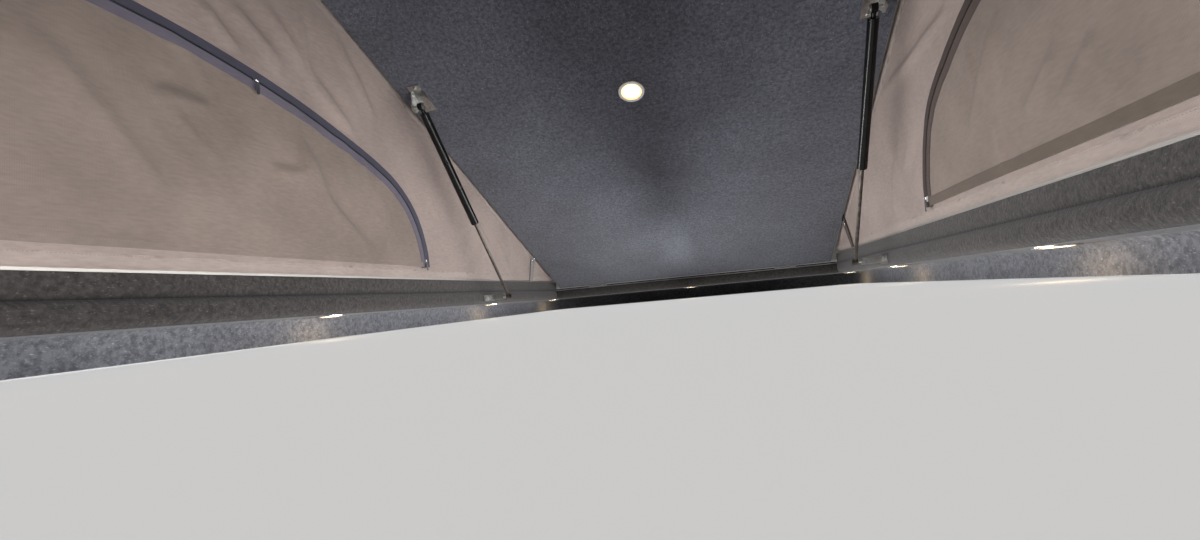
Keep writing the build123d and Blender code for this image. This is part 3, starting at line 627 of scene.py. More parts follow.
def moved_in(edges, amount):
    """The edges of an outline moved towards its inside, without the parts that cross at corners."""
    whole = np.vstack(edges)
    middle = whole.mean(axis=0)
    kept = []
    for edge in edges:
        run = np.gradient(edge, axis=0)
        across = np.stack([-run[:, 1], run[:, 0]], axis=1) / np.linalg.norm(run, axis=1)[:, None]
        if ((middle - edge.mean(axis=0)) @ across[len(across) // 2]) < 0:
            across = -across
        shifted = edge + across * amount
        kept.append(shifted[away(shifted, whole) > amount - 0.0004])
    return kept


flap_arcs = [bowed(a, b, rise) for a, b, rise in zip(FLAP_CORNERS, FLAP_CORNERS[1:], FLAP_RISES)]
flap_edges = [*flap_arcs, bowed(FLAP_CORNERS[-1], FLAP_CORNERS[0], 0)]
flap_outline = np.vstack([edge[:-1] for edge in flap_edges])
zip_line = np.vstack([edge[:-1] for edge in flap_arcs[:-1]] + [flap_arcs[-1]])
window_outline = np.vstack(moved_in(flap_edges, FLAP_LAP))
print("flap outline of", len(flap_outline), "points, window of", len(window_outline))

# %% [markdown]
# ## Filling an outline
# Cloth needs an even mesh, or its folds break up. A grid cut by the outline leaves slivers, so the outline's
# own points and a loose grid inside it go to Blender's Delaunay triangulation, which joins them with well
# shaped triangles.

# %% Triangulation
ROW_PITCH, LOOSE, EDGE_CLEAR = 0.87, 0.12, 0.55


def loose_grid(loops, gap):
    """Rows of places inside the first loop, each nudged a little and clear of every loop's line."""
    low, high = loops[0].min(axis=0), loops[0].max(axis=0)
    rows = np.arange(low[1], high[1], gap * ROW_PITCH)
    grid = [(x + (i % 2) * gap / 2, y) for i, y in enumerate(rows) for x in np.arange(low[0], high[0], gap)]
    grid = np.array(grid) + np.random.default_rng(3).uniform(-LOOSE, LOOSE, (len(grid), 2)) * gap
    fits = within(grid, loops[0])
    for loop in loops:
        fits &= away(grid, closed_line(loop)) > EDGE_CLEAR * gap
    for hole in loops[1:]:
        fits &= ~within(grid, hole)
    return grid[fits]


def triangulated(outline, holes=(), gap=None):
    """Places and triangles that fill an outline, with loose places inside it if a gap is given."""
    loops = [np.asarray(outline), *[np.asarray(hole) for hole in holes]]
    flat = np.vstack(loops + ([loose_grid(loops, gap)] if gap else []))
    rims, start = [], 0
    for loop in loops:
        rims += [(start + i, start + (i + 1) % len(loop)) for i in range(len(loop))]
        start += len(loop)
    points, _, triangles, *_ = geometry.delaunay_2d_cdt([Vector(p) for p in flat], rims, [], 0, 1e-7)
    flat = np.array([(p.x, p.y) for p in points])
    triangles = np.array([t for t in triangles if len(t) == 3])
    centres = flat[triangles].mean(axis=1)
    kept = within(centres, loops[0])
    for hole in loops[1:]:
        kept &= ~within(centres, hole)
    return flat, triangles[kept]


print("window filled with", len(triangulated(window_outline, gap=0.05)[1]), "triangles at a gap of 50 mm")

# %% [markdown]
# ## A sheet of cloth
# Real cloth has two sides and a thin edge. A single layer with a Solidify modifier would do for a picture,
# but the meshes are kept too, so each flat place is lifted onto the real surface and given a back, and a
# narrow rim closes the sheet all round. The rim stays flat shaded, so that the cut edge looks crisp.

# %% Sheet helpers
def layers(triangles, count):
    """Faces of two layers of the same triangles, and of the rim that joins them."""
    sides = {}
    for a, b, c in triangles:
        for pair in ((a, b), (b, c), (c, a)):
            key = tuple(sorted(pair))
            sides[key] = None if key in sides else pair
    rim = [(b, a, a + count, b + count) for pair in sides.values() if pair for a, b in [pair]]
    return triangles.tolist() + (triangles[:, ::-1] + count).tolist(), rim


def linked(name, mesh, material):
    """Object of a finished mesh, in the scene."""
    mesh.materials.append(material)
    piece = bpy.data.objects.new(name, mesh)
    bpy.context.collection.objects.link(piece)
    return piece


def sheet_mesh(name, outline, holes, gap, lift, thick, material):
    """A closed sheet over a flat outline. lift gives the middle surface and its inward normals."""
    flat, triangles = triangulated(outline, holes, gap)
    middle, normal = lift(flat)
    places = np.vstack([middle + normal * thick / 2, middle - normal * thick / 2])
    sides, rim = layers(triangles, len(flat))
    mesh = bpy.data.meshes.new(name)
    mesh.from_pydata(places.tolist(), [], sides + rim)
    work = bmesh.new()
    work.from_mesh(mesh)
    bmesh.ops.recalc_face_normals(work, faces=work.faces)
    work.faces.ensure_lookup_table()
    for face in work.faces:
        face.smooth = True
    for face in work.faces[len(sides) :]:
        face.smooth = False
        for edge in face.edges:
            edge.smooth = False
    bmesh.ops.delete(work, geom=[v for v in work.verts if not v.link_faces], context="VERTS")
    work.to_mesh(mesh)
    work.free()
    return linked(name, mesh, material)


def cloth_area(piece):
    """Area of one side of a closed sheet."""
    return sum(polygon.area for polygon in piece.data.polygons) / 2


print("cloth is", CLOTH * 1000, "mm thick")

# %% [markdown]
# ## Where the cloth rides
# When the top comes down, the canvas folds flat on the lower rails. A piece can ride on one body only, so
# each cloth piece rides on the roof with a mesh of its own, and the model's rigid piece that it replaces is
# hidden.

# %% Cloth on the roof
FRONT_SLOPE = (0, FRONT_TOP[0] - FRONT_FOOT_Y, FRONT_TOP[1] - SILL_Z)


def on_canvas(piece, slot_name, *replaced, axis=(0, 0, 1)):
    """Cloth that rides on the roof, hiding the model's pieces that it replaces."""
    if replaced:
        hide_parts(*replaced)
    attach(piece, "fixed_roof")
    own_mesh(piece)
    return piece


def on_front(piece, slot_name, *replaced):
    """Cloth of the front, which rides on the roof like the rest."""
    return on_canvas(piece, slot_name, *replaced, axis=FRONT_SLOPE)


# %% [markdown]
# ## Folds
# Canvas that has been folded away for months never hangs quite flat. Long creases run down from where it was
# gathered, each a soft ridge with a shallow trough beside it, and between them it bellies a few millimetres.
# A cloth simulation would invent its own creases, so these are drawn as lines across the cloth and pressed
# into the mesh, and a smooth noise gives the belly.

# %% Fold helpers
BELLY_HEIGHTS = (0.0045, 0.0016, 0.0005)
FINER_WAVES = (9.0, 27.0)
SLOPE_STEP = 0.002


def soft(value, low, high):
    """0 to 1 between two values, with soft ends."""
    t = np.clip((value - low) / (high - low), 0, 1)
    return t * t * (3 - 2 * t)


def crease(at, line, height, width):
    """Height of one crease along a line of points."""
    line = np.array(line, float)
    lengths = np.linalg.norm(np.diff(line, axis=0), axis=1)
    total, before = lengths.sum(), 0.0
    best, signed, share = np.full(len(at), 9.0), np.zeros(len(at)), np.zeros(len(at))
    for a, b, length in zip(line[:-1], line[1:], lengths):
        run = (b - a) / length
        along = (at - a) @ run
        t = np.clip(along, 0, length)
        gap = np.linalg.norm(at - a - t[:, None] * run, axis=1)
        side = (at - a) @ np.array([-run[1], run[0]])
        near = gap < best
        best[near], signed[near] = gap[near], (np.sign(side) * gap)[near]
        share[near] = ((before + t) / total)[near]
        before += length
    fade = soft(share, -0.02, 0.22) * soft(1 - share, -0.02, 0.30)
    ridge = np.exp(-((signed / width) ** 2))
    trough = 0.55 * np.exp(-(((signed - 1.9 * width) / (1.5 * width)) ** 2))
    return height * fade * (ridge - trough)


def waves(at, scale, seed):
    """Smooth noise over places."""
    return np.array([noise.noise(Vector((a * scale, b * scale, seed))) for a, b in at])


def belly(at, seeds, coarse):
    """Slack of the cloth, in waves of three sizes. coarse is how many of the largest fit in a metre."""
    sizes = zip(BELLY_HEIGHTS, (coarse, *FINER_WAVES), seeds)
    return sum(height * waves(at, scale, seed) for height, scale, seed in sizes)


def small_creases(count, low, high, slope, seed):
    """Short creases scattered over the cloth, most of them along one slope."""
    dice = random.Random(seed)
    lines = []
    for _ in range(count):
        y, z = dice.uniform(low[0], high[0]), dice.uniform(low[1], high[1])
        turn, reach = math.radians(slope + dice.gauss(0, 16)), dice.uniform(0.06, 0.20)
        bend = dice.uniform(-0.012, 0.012)
        dy, dz = math.cos(turn) * reach / 2, math.sin(turn) * reach / 2
        line = [(y - dy, z - dz), (y + bend, z + bend), (y + dy, z + dz)]
        lines.append((line, dice.uniform(0.0010, 0.0026), dice.uniform(0.006, 0.012)))
    return lines


def slopes_of(height_at, at):
    """How steeply a height rises along each of the two flat directions."""
    shifts = (np.array([SLOPE_STEP, 0]), np.array([0, SLOPE_STEP]))
    return [(height_at(at + shift) - height_at(at - shift)) / (2 * SLOPE_STEP) for shift in shifts]


print("half way down a slope a crease keeps", float(soft(np.array([0.5]), 0, 1)[0]))

# %% [markdown]
# ## Where the creases run
# The large creases are the ones that catch the eye, so each is drawn: the places it passes, in
# metres along and above the roof, then its height and its width. Random creases alone would look right
# anywhere but never like this canvas.

# %% Drawn creases
RIGHT_CREASES = [
    ([(-0.432, 0.576), (-0.369, 0.511)], 0.006, 0.011),
    ([(-0.387, 0.602), (-0.282, 0.527)], 0.005, 0.012),
    ([(-0.249, 0.653), (-0.229, 0.546), (-0.110, 0.450)], 0.009, 0.014),
    ([(-0.191, 0.684), (-0.091, 0.577), (-0.040, 0.500)], 0.006, 0.013),
    ([(0.003, 0.610), (0.187, 0.506)], 0.005, 0.012),
    ([(-0.324, 0.638), (-0.172, 0.486)], 0.005, 0.012),
    ([(-0.560, 0.760), (-0.400, 0.600)], 0.006, 0.014),
    ([(0.300, 0.400), (0.520, 0.230)], 0.005, 0.013),
]
LEFT_CREASES = [
    ([(-0.088, 0.469), (0.184, 0.454)], 0.005, 0.010),
    ([(-0.049, 0.474), (0.356, 0.456)], 0.004, 0.012),
    ([(0.277, 0.310), (0.357, 0.158)], 0.007, 0.013),
    ([(-0.300, 0.720), (-0.120, 0.560)], 0.006, 0.014),
    ([(0.520, 0.360), (0.640, 0.190)], 0.005, 0.012),
    ([(-0.700, 0.850), (-0.560, 0.640)], 0.006, 0.015),
]
RIGHT_FLAP_CREASES = [
    ([(-0.255, 0.411), (-0.193, 0.286), (-0.058, 0.176)], 0.009, 0.017),
    ([(-0.316, 0.325), (-0.235, 0.333)], 0.004, 0.010),
    ([(-0.506, 0.398), (-0.413, 0.401)], 0.004, 0.011),
    ([(-0.566, 0.161), (-0.533, 0.170), (-0.496, 0.154)], 0.005, 0.010),
    ([(-0.640, 0.430), (-0.480, 0.230)], 0.006, 0.018),
    ([(-0.860, 0.400), (-0.700, 0.220)], 0.006, 0.018),
]
LEFT_FLAP_CREASES = [
    ([(-0.227, 0.386), (-0.088, 0.245)], 0.006, 0.014),
    ([(-0.323, 0.287), (-0.238, 0.227)], 0.005, 0.012),
    ([(-0.382, 0.272), (-0.298, 0.214)], 0.005, 0.012),
    ([(-0.600, 0.430), (-0.430, 0.260)], 0.007, 0.018),
    ([(-0.880, 0.360), (-0.740, 0.220)], 0.005, 0.016),
]
SIDES = {
    "left": (1, LEFT_CREASES, LEFT_FLAP_CREASES, 21),
    "right": (-1, RIGHT_CREASES, RIGHT_FLAP_CREASES, 34),
}
print("creases drawn:", {side: len(row[1]) + len(row[2]) for side, row in SIDES.items()})

# %% [markdown]
# ## The side canvases and their window flaps
# Each side is one canvas with a window cut in it and a darker flap zipped over the window from inside. The
# flap lies on the canvas, so both share one belly, and each adds its own creases, which die away at the zip
# and at the rails where the cloth is held flat. One function lifts both, with a depth that says how far
# inside the canvas a layer lies, so the zip and the stitches later use the same surface.

# %% Side canvases and flaps
FLAP_DEPTH = 0.0033
FOLD_DEPTH, FOLD_LIMIT_X = 1.5, 0.5785
HELD_BY_RAIL, HELD_BY_ZIP = (0.0, 0.06), (0.004, 0.030)
SIDE_WAVES = 3.1
CANVAS_GAP, FLAP_GAP = 0.009, 0.008


def side_relief(at, side, flap):
    """How far the cloth stands inward of the ruled surface, and never past the beams of the closed top."""
    _, canvas_lines, flap_lines, seed = SIDES[side]
    free = soft(away(at, zip_line), *HELD_BY_ZIP)
    if flap:
        lines = flap_lines + small_creases(16, (-1.0, 0.18), (0.0, 0.50), 120, seed)
        free = free * soft(at[:, 1], FLAP_SILL - 0.01, FLAP_SILL + 0.03)
    else:
        lines = canvas_lines + small_creases(34, (-1.1, 0.16), (0.9, 0.9), 130, seed + 1)
    own = sum(crease(at, *one) for one in lines)
    slack = belly(at, (seed, seed + 5, seed + 9), SIDE_WAVES)
    held = soft(away(at, side_border), *HELD_BY_RAIL)
    room = np.maximum(side_x(at) - FOLD_LIMIT_X, 0)
    return np.minimum(held * (slack + FOLD_DEPTH * free * own), room)


def side_lift(side, depth, flap):
    """Lifts flat places onto one side of the roof, some way inside the canvas."""
    sign = SIDES[side][0]

    def lift(at):
        at = np.asarray(at, float)
        slopes = slopes_of(lambda places: side_relief(places, side, flap), at)
        x = side_x(at) - (depth + side_relief(at, side, flap))
        middle = np.stack([sign * x, at[:, 0], at[:, 1]], axis=1)
        normal = np.stack([-sign * np.ones(len(at)), -slopes[0], -slopes[1]], axis=1)
        return middle, normal / np.linalg.norm(normal, axis=1)[:, None]

    return lift


side_canvases, side_flaps = {}, {}
for side in SIDES:
    lift, flap_lift = side_lift(side, 0, False), side_lift(side, FLAP_DEPTH, True)
    name, holes = f"side_canvas_{side}", [window_outline]
    canvas = sheet_mesh(name, canvas_edge, holes, CANVAS_GAP, lift, CLOTH, canvas_cloth)
    flap = sheet_mesh(f"side_flap_{side}", flap_outline, [], FLAP_GAP, flap_lift, CLOTH, flap_cloth)
    side_canvases[side] = on_canvas(canvas, "canvas", f"canvas_{side}")
    side_flaps[side] = on_canvas(flap, "window_canvas", f"window_flap_{side}")
    print(side, "canvas", len(canvas.data.polygons), "faces,", round(cloth_area(canvas), 3), "m2")

# %% [markdown]
# ## The front's outlines
# Across the front hangs a flat canvas that leans back from the rail to the front of the tilted top, with a
# rounded rectangular window flap. Its outline narrows towards the top, and the flap's size is read from the
# frame, so that the cloth covers just what the model holds.

# %% Outlines of the front
QUARTER = math.pi / 2
WINDOW_CORNER, FRONT_LAP = 0.110, 0.016
TOP_CLEAR = 0.0018


def rounded(low, high, corner, gap=EDGE_GAP):
    """Outline of a rectangle with rounded corners."""
    turns = np.linspace(0, QUARTER, max(3, round(corner * QUARTER / gap)))
    points = []
    for i, (across, up) in enumerate([(1, 1), (-1, 1), (-1, -1), (1, -1)]):
        x = (high[0] if across > 0 else low[0]) - across * corner
        z = (high[1] if up > 0 else low[1]) - up * corner
        for t in turns + i * QUARTER:
            points.append((x + corner * math.cos(t), z + corner * math.sin(t)))
    return dense(points, gap)


front_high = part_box("canvas_front")[1]
FRONT_LOW_X, FRONT_HIGH_X = front_high.x, HIGH_X - TOP_CLEAR
FRONT_OUTLINE = [(-FRONT_LOW_X, SILL_Z), (FRONT_LOW_X, SILL_Z)]
FRONT_OUTLINE += [(FRONT_HIGH_X, FRONT_TOP[1]), (-FRONT_HIGH_X, FRONT_TOP[1])]
front_flap_low, front_flap_high = ((corner.x, corner.z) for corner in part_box("window_flap_front"))
front_flap_outline = rounded(front_flap_low, front_flap_high, WINDOW_CORNER)
window_low, window_high = [v + FRONT_LAP for v in front_flap_low], [v - FRONT_LAP for v in front_flap_high]
front_window_outline = rounded(window_low, window_high, WINDOW_CORNER - FRONT_LAP)
front_border = closed_line(np.array(FRONT_OUTLINE))
front_zip_line = closed_line(front_flap_outline)
print("front flap outline of", len(front_flap_outline), "points")

# %% [markdown]
# ## The front canvas
# The front is the same kind of sheet as the sides, on a leaning plane instead of a ruled surface. So it is
# laid out in X and Z, given its own creases, and pushed back in Y by its lean.

# %% Front canvas and flap
FRONT_LEAN = (FRONT_TOP[0] - FRONT_FOOT_Y) / (FRONT_TOP[1] - SILL_Z)
FRONT_WAVES = 3.0
FRONT_GAP, FRONT_FLAP_GAP = 0.010, 0.009
FRONT_CREASES = [
    ([(-0.52, 0.95), (-0.38, 0.60)], 0.006, 0.016),
    ([(0.50, 0.90), (0.40, 0.52)], 0.006, 0.015),
    ([(-0.48, 0.40), (-0.38, 0.22)], 0.005, 0.013),
    ([(-0.20, 0.98), (0.15, 0.93)], 0.004, 0.012),
]
FRONT_FLAP_CREASES = [
    ([(-0.24, 0.78), (-0.05, 0.40)], 0.006, 0.018),
    ([(0.22, 0.74), (0.10, 0.42)], 0.006, 0.016),
    ([(-0.22, 0.42), (0.02, 0.32)], 0.005, 0.014),
]


def front_relief(at, flap):
    """How far the front cloth stands inward of its plane."""
    if flap:
        lines = FRONT_FLAP_CREASES + small_creases(10, (-0.3, 0.3), (0.3, 0.8), 110, 61)
    else:
        lines = FRONT_CREASES + small_creases(22, (-0.55, 0.2), (0.55, 1.0), 80, 62)
    own = sum(crease(at, *one) for one in lines)
    held = soft(away(at, front_border), *HELD_BY_RAIL)
    return held * (belly(at, (51, 57, 58), FRONT_WAVES) + soft(away(at, front_zip_line), *HELD_BY_ZIP) * own)


def front_lift(depth, flap):
    """Lifts flat places (x, z) onto the leaning front."""

    def lift(at):
        at = np.asarray(at, float)
        slopes = slopes_of(lambda places: front_relief(places, flap), at)
        inward = CANVAS_CORE + depth + front_relief(at, flap)
        y = FRONT_FOOT_Y + (at[:, 1] - SILL_Z) * FRONT_LEAN + inward
        middle = np.stack([at[:, 0], y, at[:, 1]], axis=1)
        normal = np.stack([-slopes[0], np.ones(len(at)), -FRONT_LEAN - slopes[1]], axis=1)
        return middle, normal / np.linalg.norm(normal, axis=1)[:, None]

    return lift


front_edge = dense(FRONT_OUTLINE, EDGE_GAP)
lift, flap_lift = front_lift(0, False), front_lift(FLAP_DEPTH, True)
holes = [front_window_outline]
front_canvas = sheet_mesh("front_canvas", front_edge, holes, FRONT_GAP, lift, CLOTH, canvas_cloth)
front_flap = sheet_mesh("front_flap", front_flap_outline, [], FRONT_FLAP_GAP, flap_lift, CLOTH, flap_cloth)
on_front(front_canvas, "canvas", "canvas_front")
on_front(front_flap, "window_canvas", "window_flap_front")
print("front canvas", len(front_canvas.data.polygons), "faces,", round(cloth_area(front_canvas), 3), "m2")

# %% [markdown]
# ## Colours of the zips and threads
# The two sides' zips were dyed in different lots: one is navy with violet tapes, the other a dark brown. The
# tapes are the same woven cloth as the canvas in other colours, so the cloth recipe makes them. The nylon
# teeth are a little glossy and worn pale where the slider rubs them.

# %% Zip and thread finishes
zip_navy = cloth("zip_navy", (0.060, 0.060, 0.085), 0.0)
zip_violet = cloth("zip_violet", (0.135, 0.122, 0.155), 0.0)
zip_brown = cloth("zip_brown", (0.050, 0.034, 0.029), 0.0)
zip_umber = cloth("zip_umber", (0.078, 0.056, 0.048), 0.0)
slider_silver = plated("slider_silver", (0.88, 0.88, 0.88), 0.2)
thread = cloth("thread", (0.30, 0.255, 0.23), 0.0)
thread_dark = cloth("thread_dark", (0.12, 0.095, 0.085), 0.0)


def teeth_nylon(name, colour):
    material, shader = finish(name, colour, 0.42)
    worn = tuple(c * 1.7 for c in colour)
    paint(material, shader, shades(material, speckle(material, 500, 2), [(0.4, colour), (0.7, worn)]))
    return material


ZIP_WIDTH = 0.034
ZIPS = {
    "right": (zip_navy, zip_violet, teeth_nylon("teeth_dark", (0.028, 0.028, 0.040))),
    "left": (zip_brown, zip_umber, teeth_nylon("teeth_brown", (0.040, 0.030, 0.026))),
}
print("zip colours:", {side: row[0].name for side, row in ZIPS.items()})

# %% [markdown]
# ## Many small copies
# Teeth and stitches are one small shape repeated hundreds of times along a line on the cloth. Separate
# objects would be slow, and an array modifier can't follow folded cloth, so numpy turns every copy into its
# own frame at once and all of them become one mesh.

# %% Rows of small copies
TOOTH_PITCH = 0.0018
STITCH_PITCH, STITCH_SIZE = 0.0042, 0.0015
TOOTH = [(-0.45, -1.7, 0), (0.45, -1.7, 0), (0.62, 1.7, 0), (-0.62, 1.7, 0)]
TOOTH += [(-0.32, -1.3, 1.1), (0.32, -1.3, 1.1), (0.42, 1.3, 1.3), (-0.42, 1.3, 1.3)]
BLOCK_FACES = [(0, 3, 2, 1), (4, 5, 6, 7), (0, 1, 5, 4), (1, 2, 6, 5), (2, 3, 7, 6), (3, 0, 4, 7)]
STITCH = [(-1, 0, 0), (1, 0, 0), (0, -0.3, 0), (0, 0.3, 0), (0, 0, 0.28), (0, 0, -0.2)]
STITCH_FACES = [(0, 2, 4), (0, 4, 3), (0, 3, 5), (0, 5, 2), (1, 4, 2), (1, 3, 4), (1, 5, 3), (1, 2, 5)]


def walk(line, pitch):
    """Even places along a line of points."""
    line = np.asarray(line, float)
    length = np.concatenate([[0], np.cumsum(np.linalg.norm(np.diff(line, axis=0), axis=1))])
    at = np.arange(pitch / 2, length[-1], pitch)
    return np.stack([np.interp(at, length, line[:, i]) for i in range(line.shape[1])], axis=1)


def frames_on(flat, lift, over):
    """Places over a lifted surface, and frames (along, across, out) that follow a row of places."""
    middle, normal = lift(flat)
    run = np.gradient(middle, axis=0)
    run /= np.linalg.norm(run, axis=1)[:, None] + 1e-12
    across = np.cross(normal, run)
    across /= np.linalg.norm(across, axis=1)[:, None] + 1e-12
    return middle + normal * over, np.stack([run, across, normal], axis=1)


def copies(name, shape, faces, places, frames, material):
    """One mesh of many copies of a small shape, each in its own frame."""
    points = np.einsum("pi,nij->npj", np.array(shape, float), frames) + places[:, None, :]
    every = [tuple(i + n * len(shape) for i in face) for n in range(len(places)) for face in faces]
    mesh = bpy.data.meshes.new(name)
    mesh.from_pydata(points.reshape(-1, 3).tolist(), [], every)
    return linked(name, mesh, material)


def stitches(name, line, lift, over, material, pitch=STITCH_PITCH):
    """A row of lock stitches along a line on the cloth."""
    places, frames = frames_on(walk(line, pitch), lift, over)
    return copies(name, np.array(STITCH) * STITCH_SIZE, STITCH_FACES, places, frames, material)


def zip_teeth(name, line, lift, over, material):
    """A row of teeth, every other one turned about."""
    places, frames = frames_on(walk(line, TOOTH_PITCH), lift, over)
    frames[1::2, :2] *= -1
    return copies(name, np.array(TOOTH) / 1000, BLOCK_FACES, places, frames, material)


print("teeth in 0.1 m:", len(walk([(0, 0), (0.1, 0)], TOOTH_PITCH)))

# %% [markdown]
# ## Small metal shapes
# Rings, washers and screw heads are turned parts, and sliders and pulls are stamped. A turned part is a
# profile carried round an axis, and a stamped one is an outline with holes and a thickness. The shapes are
# made as plain lists of points and faces, then joined, bevelled and shaded in one go, because the tiny bevel
# is what catches the light on real metal.

# %% Turned and stamped shapes
def round_steps(count):
    return [2 * math.pi * i / count for i in range(count)]


def lathe(profile, count=24):
    """Round shape from a profile of (radius, height), capped at its ends."""
    rows = len(profile)
    points = [(r * math.cos(t), r * math.sin(t), h) for t in round_steps(count) for r, h in profile]
    faces = []
    for i in range(count):
        a, b = i * rows, (i + 1) % count * rows
        faces += [(a + k, b + k, b + k + 1, a + k + 1) for k in range(rows - 1)]
    caps = [tuple(i * rows + k for i in range(count)) for k in (0, rows - 1)]
    return points, faces + caps


def loop_lathe(profile, count=28):
    """Round shape from a closed profile, with no caps."""
    points, faces = lathe(profile[:-1], count)
    rows = len(profile) - 1
    starts = [((i + 1) % count * rows, i * rows) for i in range(count)]
    return points, faces[:-2] + [(b, a, a + rows - 1, b + rows - 1) for b, a in starts]


def ring(radius, thick, count=32, round_count=10):
    """Round wire ring."""
    points, faces = [], []
    for i, t in enumerate(round_steps(count)):
        here, beyond = i * round_count, (i + 1) % count * round_count
        for j, u in enumerate(round_steps(round_count)):
            r = radius + thick * math.cos(u)
            points.append((r * math.cos(t), r * math.sin(t), thick * math.sin(u)))
            k = (j + 1) % round_count
            faces.append((here + j, beyond + j, beyond + k, here + k))
    return points, faces


def plate(outline, holes, low, high):
    """Flat plate of an outline with holes, between two heights."""
    flat, triangles = triangulated(outline, holes)
    sides, rim = layers(triangles, len(flat))
    return [(x, y, z) for z in (high, low) for x, y in flat], sides + rim


def block(low, high):
    """Tapered block from its lower and upper corners, each four (x, y) and a height."""
    return [(x, y, height) for corners, height in (low, high) for x, y in corners], BLOCK_FACES


def mm(points):
    return [tuple(value / 1000 for value in point) for point in points]


print("directions round a circle:", len(round_steps(24)))

# %% [markdown]
# ## Placing and joining them
# Each small shape is drawn about its own origin with Z out of the surface it sits on. A matrix built from
# that direction and one more stands it in its place, and a bmesh gathers them into one object.

# %% Joining shapes
CRISP = 0.6


def standing(place, out, along):
    """Matrix whose Z is out and whose X is near along, at a place."""
    out, along = Vector(out).normalized(), Vector(along)
    along = (along - out * along.dot(out)).normalized()
    return Matrix.Translation(Vector(place)) @ Matrix((along, out.cross(along), out)).transposed().to_4x4()


def made(name, shapes, material, bevel=0.0, weld=0.0):
    """Object of several shapes, each (points, faces) in metres with a matrix that places it."""
    work = bmesh.new()
    for (points, faces), matrix in shapes:
        corners = [work.verts.new(matrix @ Vector(p)) for p in points]
        for face in faces:
            work.faces.new([corners[i] for i in face])
    bmesh.ops.recalc_face_normals(work, faces=work.faces)
    if bevel:
        sharp = [e for e in work.edges if len(e.link_faces) == 2 and e.calc_face_angle() > CRISP]
        bmesh.ops.bevel(work, geom=sharp, offset=bevel, segments=2, affect="EDGES", clamp_overlap=True)
    for face in work.faces:
        face.smooth = True
    for edge in work.edges:
        edge.smooth = len(edge.link_faces) != 2 or edge.calc_face_angle() < CRISP
    if weld:
        bmesh.ops.remove_doubles(work, verts=work.verts, dist=weld)
        bmesh.ops.recalc_face_normals(work, faces=work.faces)
    mesh = bpy.data.meshes.new(name)
    work.to_mesh(mesh)
    work.free()
    return linked(name, mesh, material)


def fixed(piece, body):
    """Gives a rigid piece the body that it rides on."""
    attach(piece, body)
    return piece


print("edges over", round(math.degrees(CRISP)), "degrees stay crisp")

# %% [markdown]
# ## Sliders
# A slider is a bridged body that closes the teeth, with a pull on it. The pull hangs straight down whatever
# way the zip runs there, so the body takes its direction from the zip and the pull takes its own from
# gravity.

# %% Slider
# Lower and upper end of each block of the body, in millimetres: back, half width there, front, half width
# there and height.
SLIDER_TAPERS = [
    ((-6, 4.5, 6, 3.2, 0), (-5, 3.6, 4.6, 2.5, 3.2)),
    ((-3.5, 0.9, 3, 0.9, 3.1), (-2.2, 0.8, 1.6, 0.8, 5.0)),
]
PULL_OVER, PULL_THICK, SLIDER_BEVEL = 0.0042, 0.0011, 0.0004
pull_outline = rounded((-0.0030, -0.0260), (0.0030, -0.0030), 0.0028, 0.0008)
pull_hole = rounded((-0.0014, -0.0075), (0.0014, -0.0047), 0.00139, 0.0006)


def taper_end(back, back_half, front, front_half, height):
    corners = [(back, -back_half), (front, -front_half), (front, front_half), (back, back_half)]
    return mm(corners), height / 1000


slider_body = [block(taper_end(*low), taper_end(*high)) for low, high in SLIDER_TAPERS]


def zip_slider(name, flat_place, line, lift, over):
    """A slider at a place of the zip, its body along the zip and its pull hanging."""
    nearest = np.argmin(np.linalg.norm(line - np.array(flat_place), axis=1))
    nearest = min(max(nearest, 1), len(line) - 2)
    middle, normal = lift(line[nearest - 1 : nearest + 2])
    run, out = middle[2] - middle[0], normal[1]
    body = standing(middle[1] + out * over, out, run)
    hang = standing(middle[1] + out * (over + PULL_OVER), out, Vector((0, 0, 1)).cross(Vector(out)))
    shapes = [(shape, body) for shape in slider_body]
    shapes.append((plate(pull_outline, [pull_hole], 0, PULL_THICK), hang))
    return made(name, shapes, slider_silver, SLIDER_BEVEL)


print("slider of", len(slider_body), "blocks and a pull")

# %% [markdown]
# ## The zips
# A coil zip is two woven tapes, each with a row of teeth on its inner edge. It runs up one side of the flap,
# over its crest and down the other. The dark tape is sewn to the canvas and the paler one to the flap, with
# the teeth between. The tapes are strips of the same lifted surface, a hair further inside than the flap, so
# they follow every fold of it.

# %% Zips on the side flaps
TAPE, TAPE_OVER, TAPE_GAP, TAPE_MESH = 0.0006, 0.0013, 0.0004, 0.006
SEWN_IN, SLIDER_OVER = 0.003, 0.0004
SLIDERS = [(-0.337, 0.513), (0.144, 0.179)]


def strip_outline(edges, near, far):
    """Closed outline of the strip between two distances inside an outline's edges."""
    outer = np.vstack(moved_in(edges, near)) if near else np.vstack(edges)
    return np.vstack([outer, np.vstack(moved_in(edges, far))[::-1]])


def length_of(line):
    return round(float(np.linalg.norm(np.diff(line, axis=0), axis=1).sum()), 2)


def zip_parts(place, edges, lift, dye, on):
    """Two tapes and a row of teeth along an outline's edges, and the line that the teeth follow."""
    outer_tape, inner_tape, teeth = dye
    half, pieces = ZIP_WIDTH / 2, []
    tapes = (("outer", 0, half, outer_tape), ("inner", half + TAPE_GAP, ZIP_WIDTH, inner_tape))
    for part, near, far, tape in tapes:
        outline = strip_outline(edges, near, far)
        strip = sheet_mesh(f"zip_{part}_tape_{place}", outline, [], TAPE_MESH, lift, TAPE, tape)
        pieces.append(on(strip, "window_canvas"))
    teeth_line = np.vstack(moved_in(edges, half))
    pieces.append(on(zip_teeth(f"zip_teeth_{place}", teeth_line, lift, TAPE / 2, teeth), "rubber"))
    return pieces, teeth_line


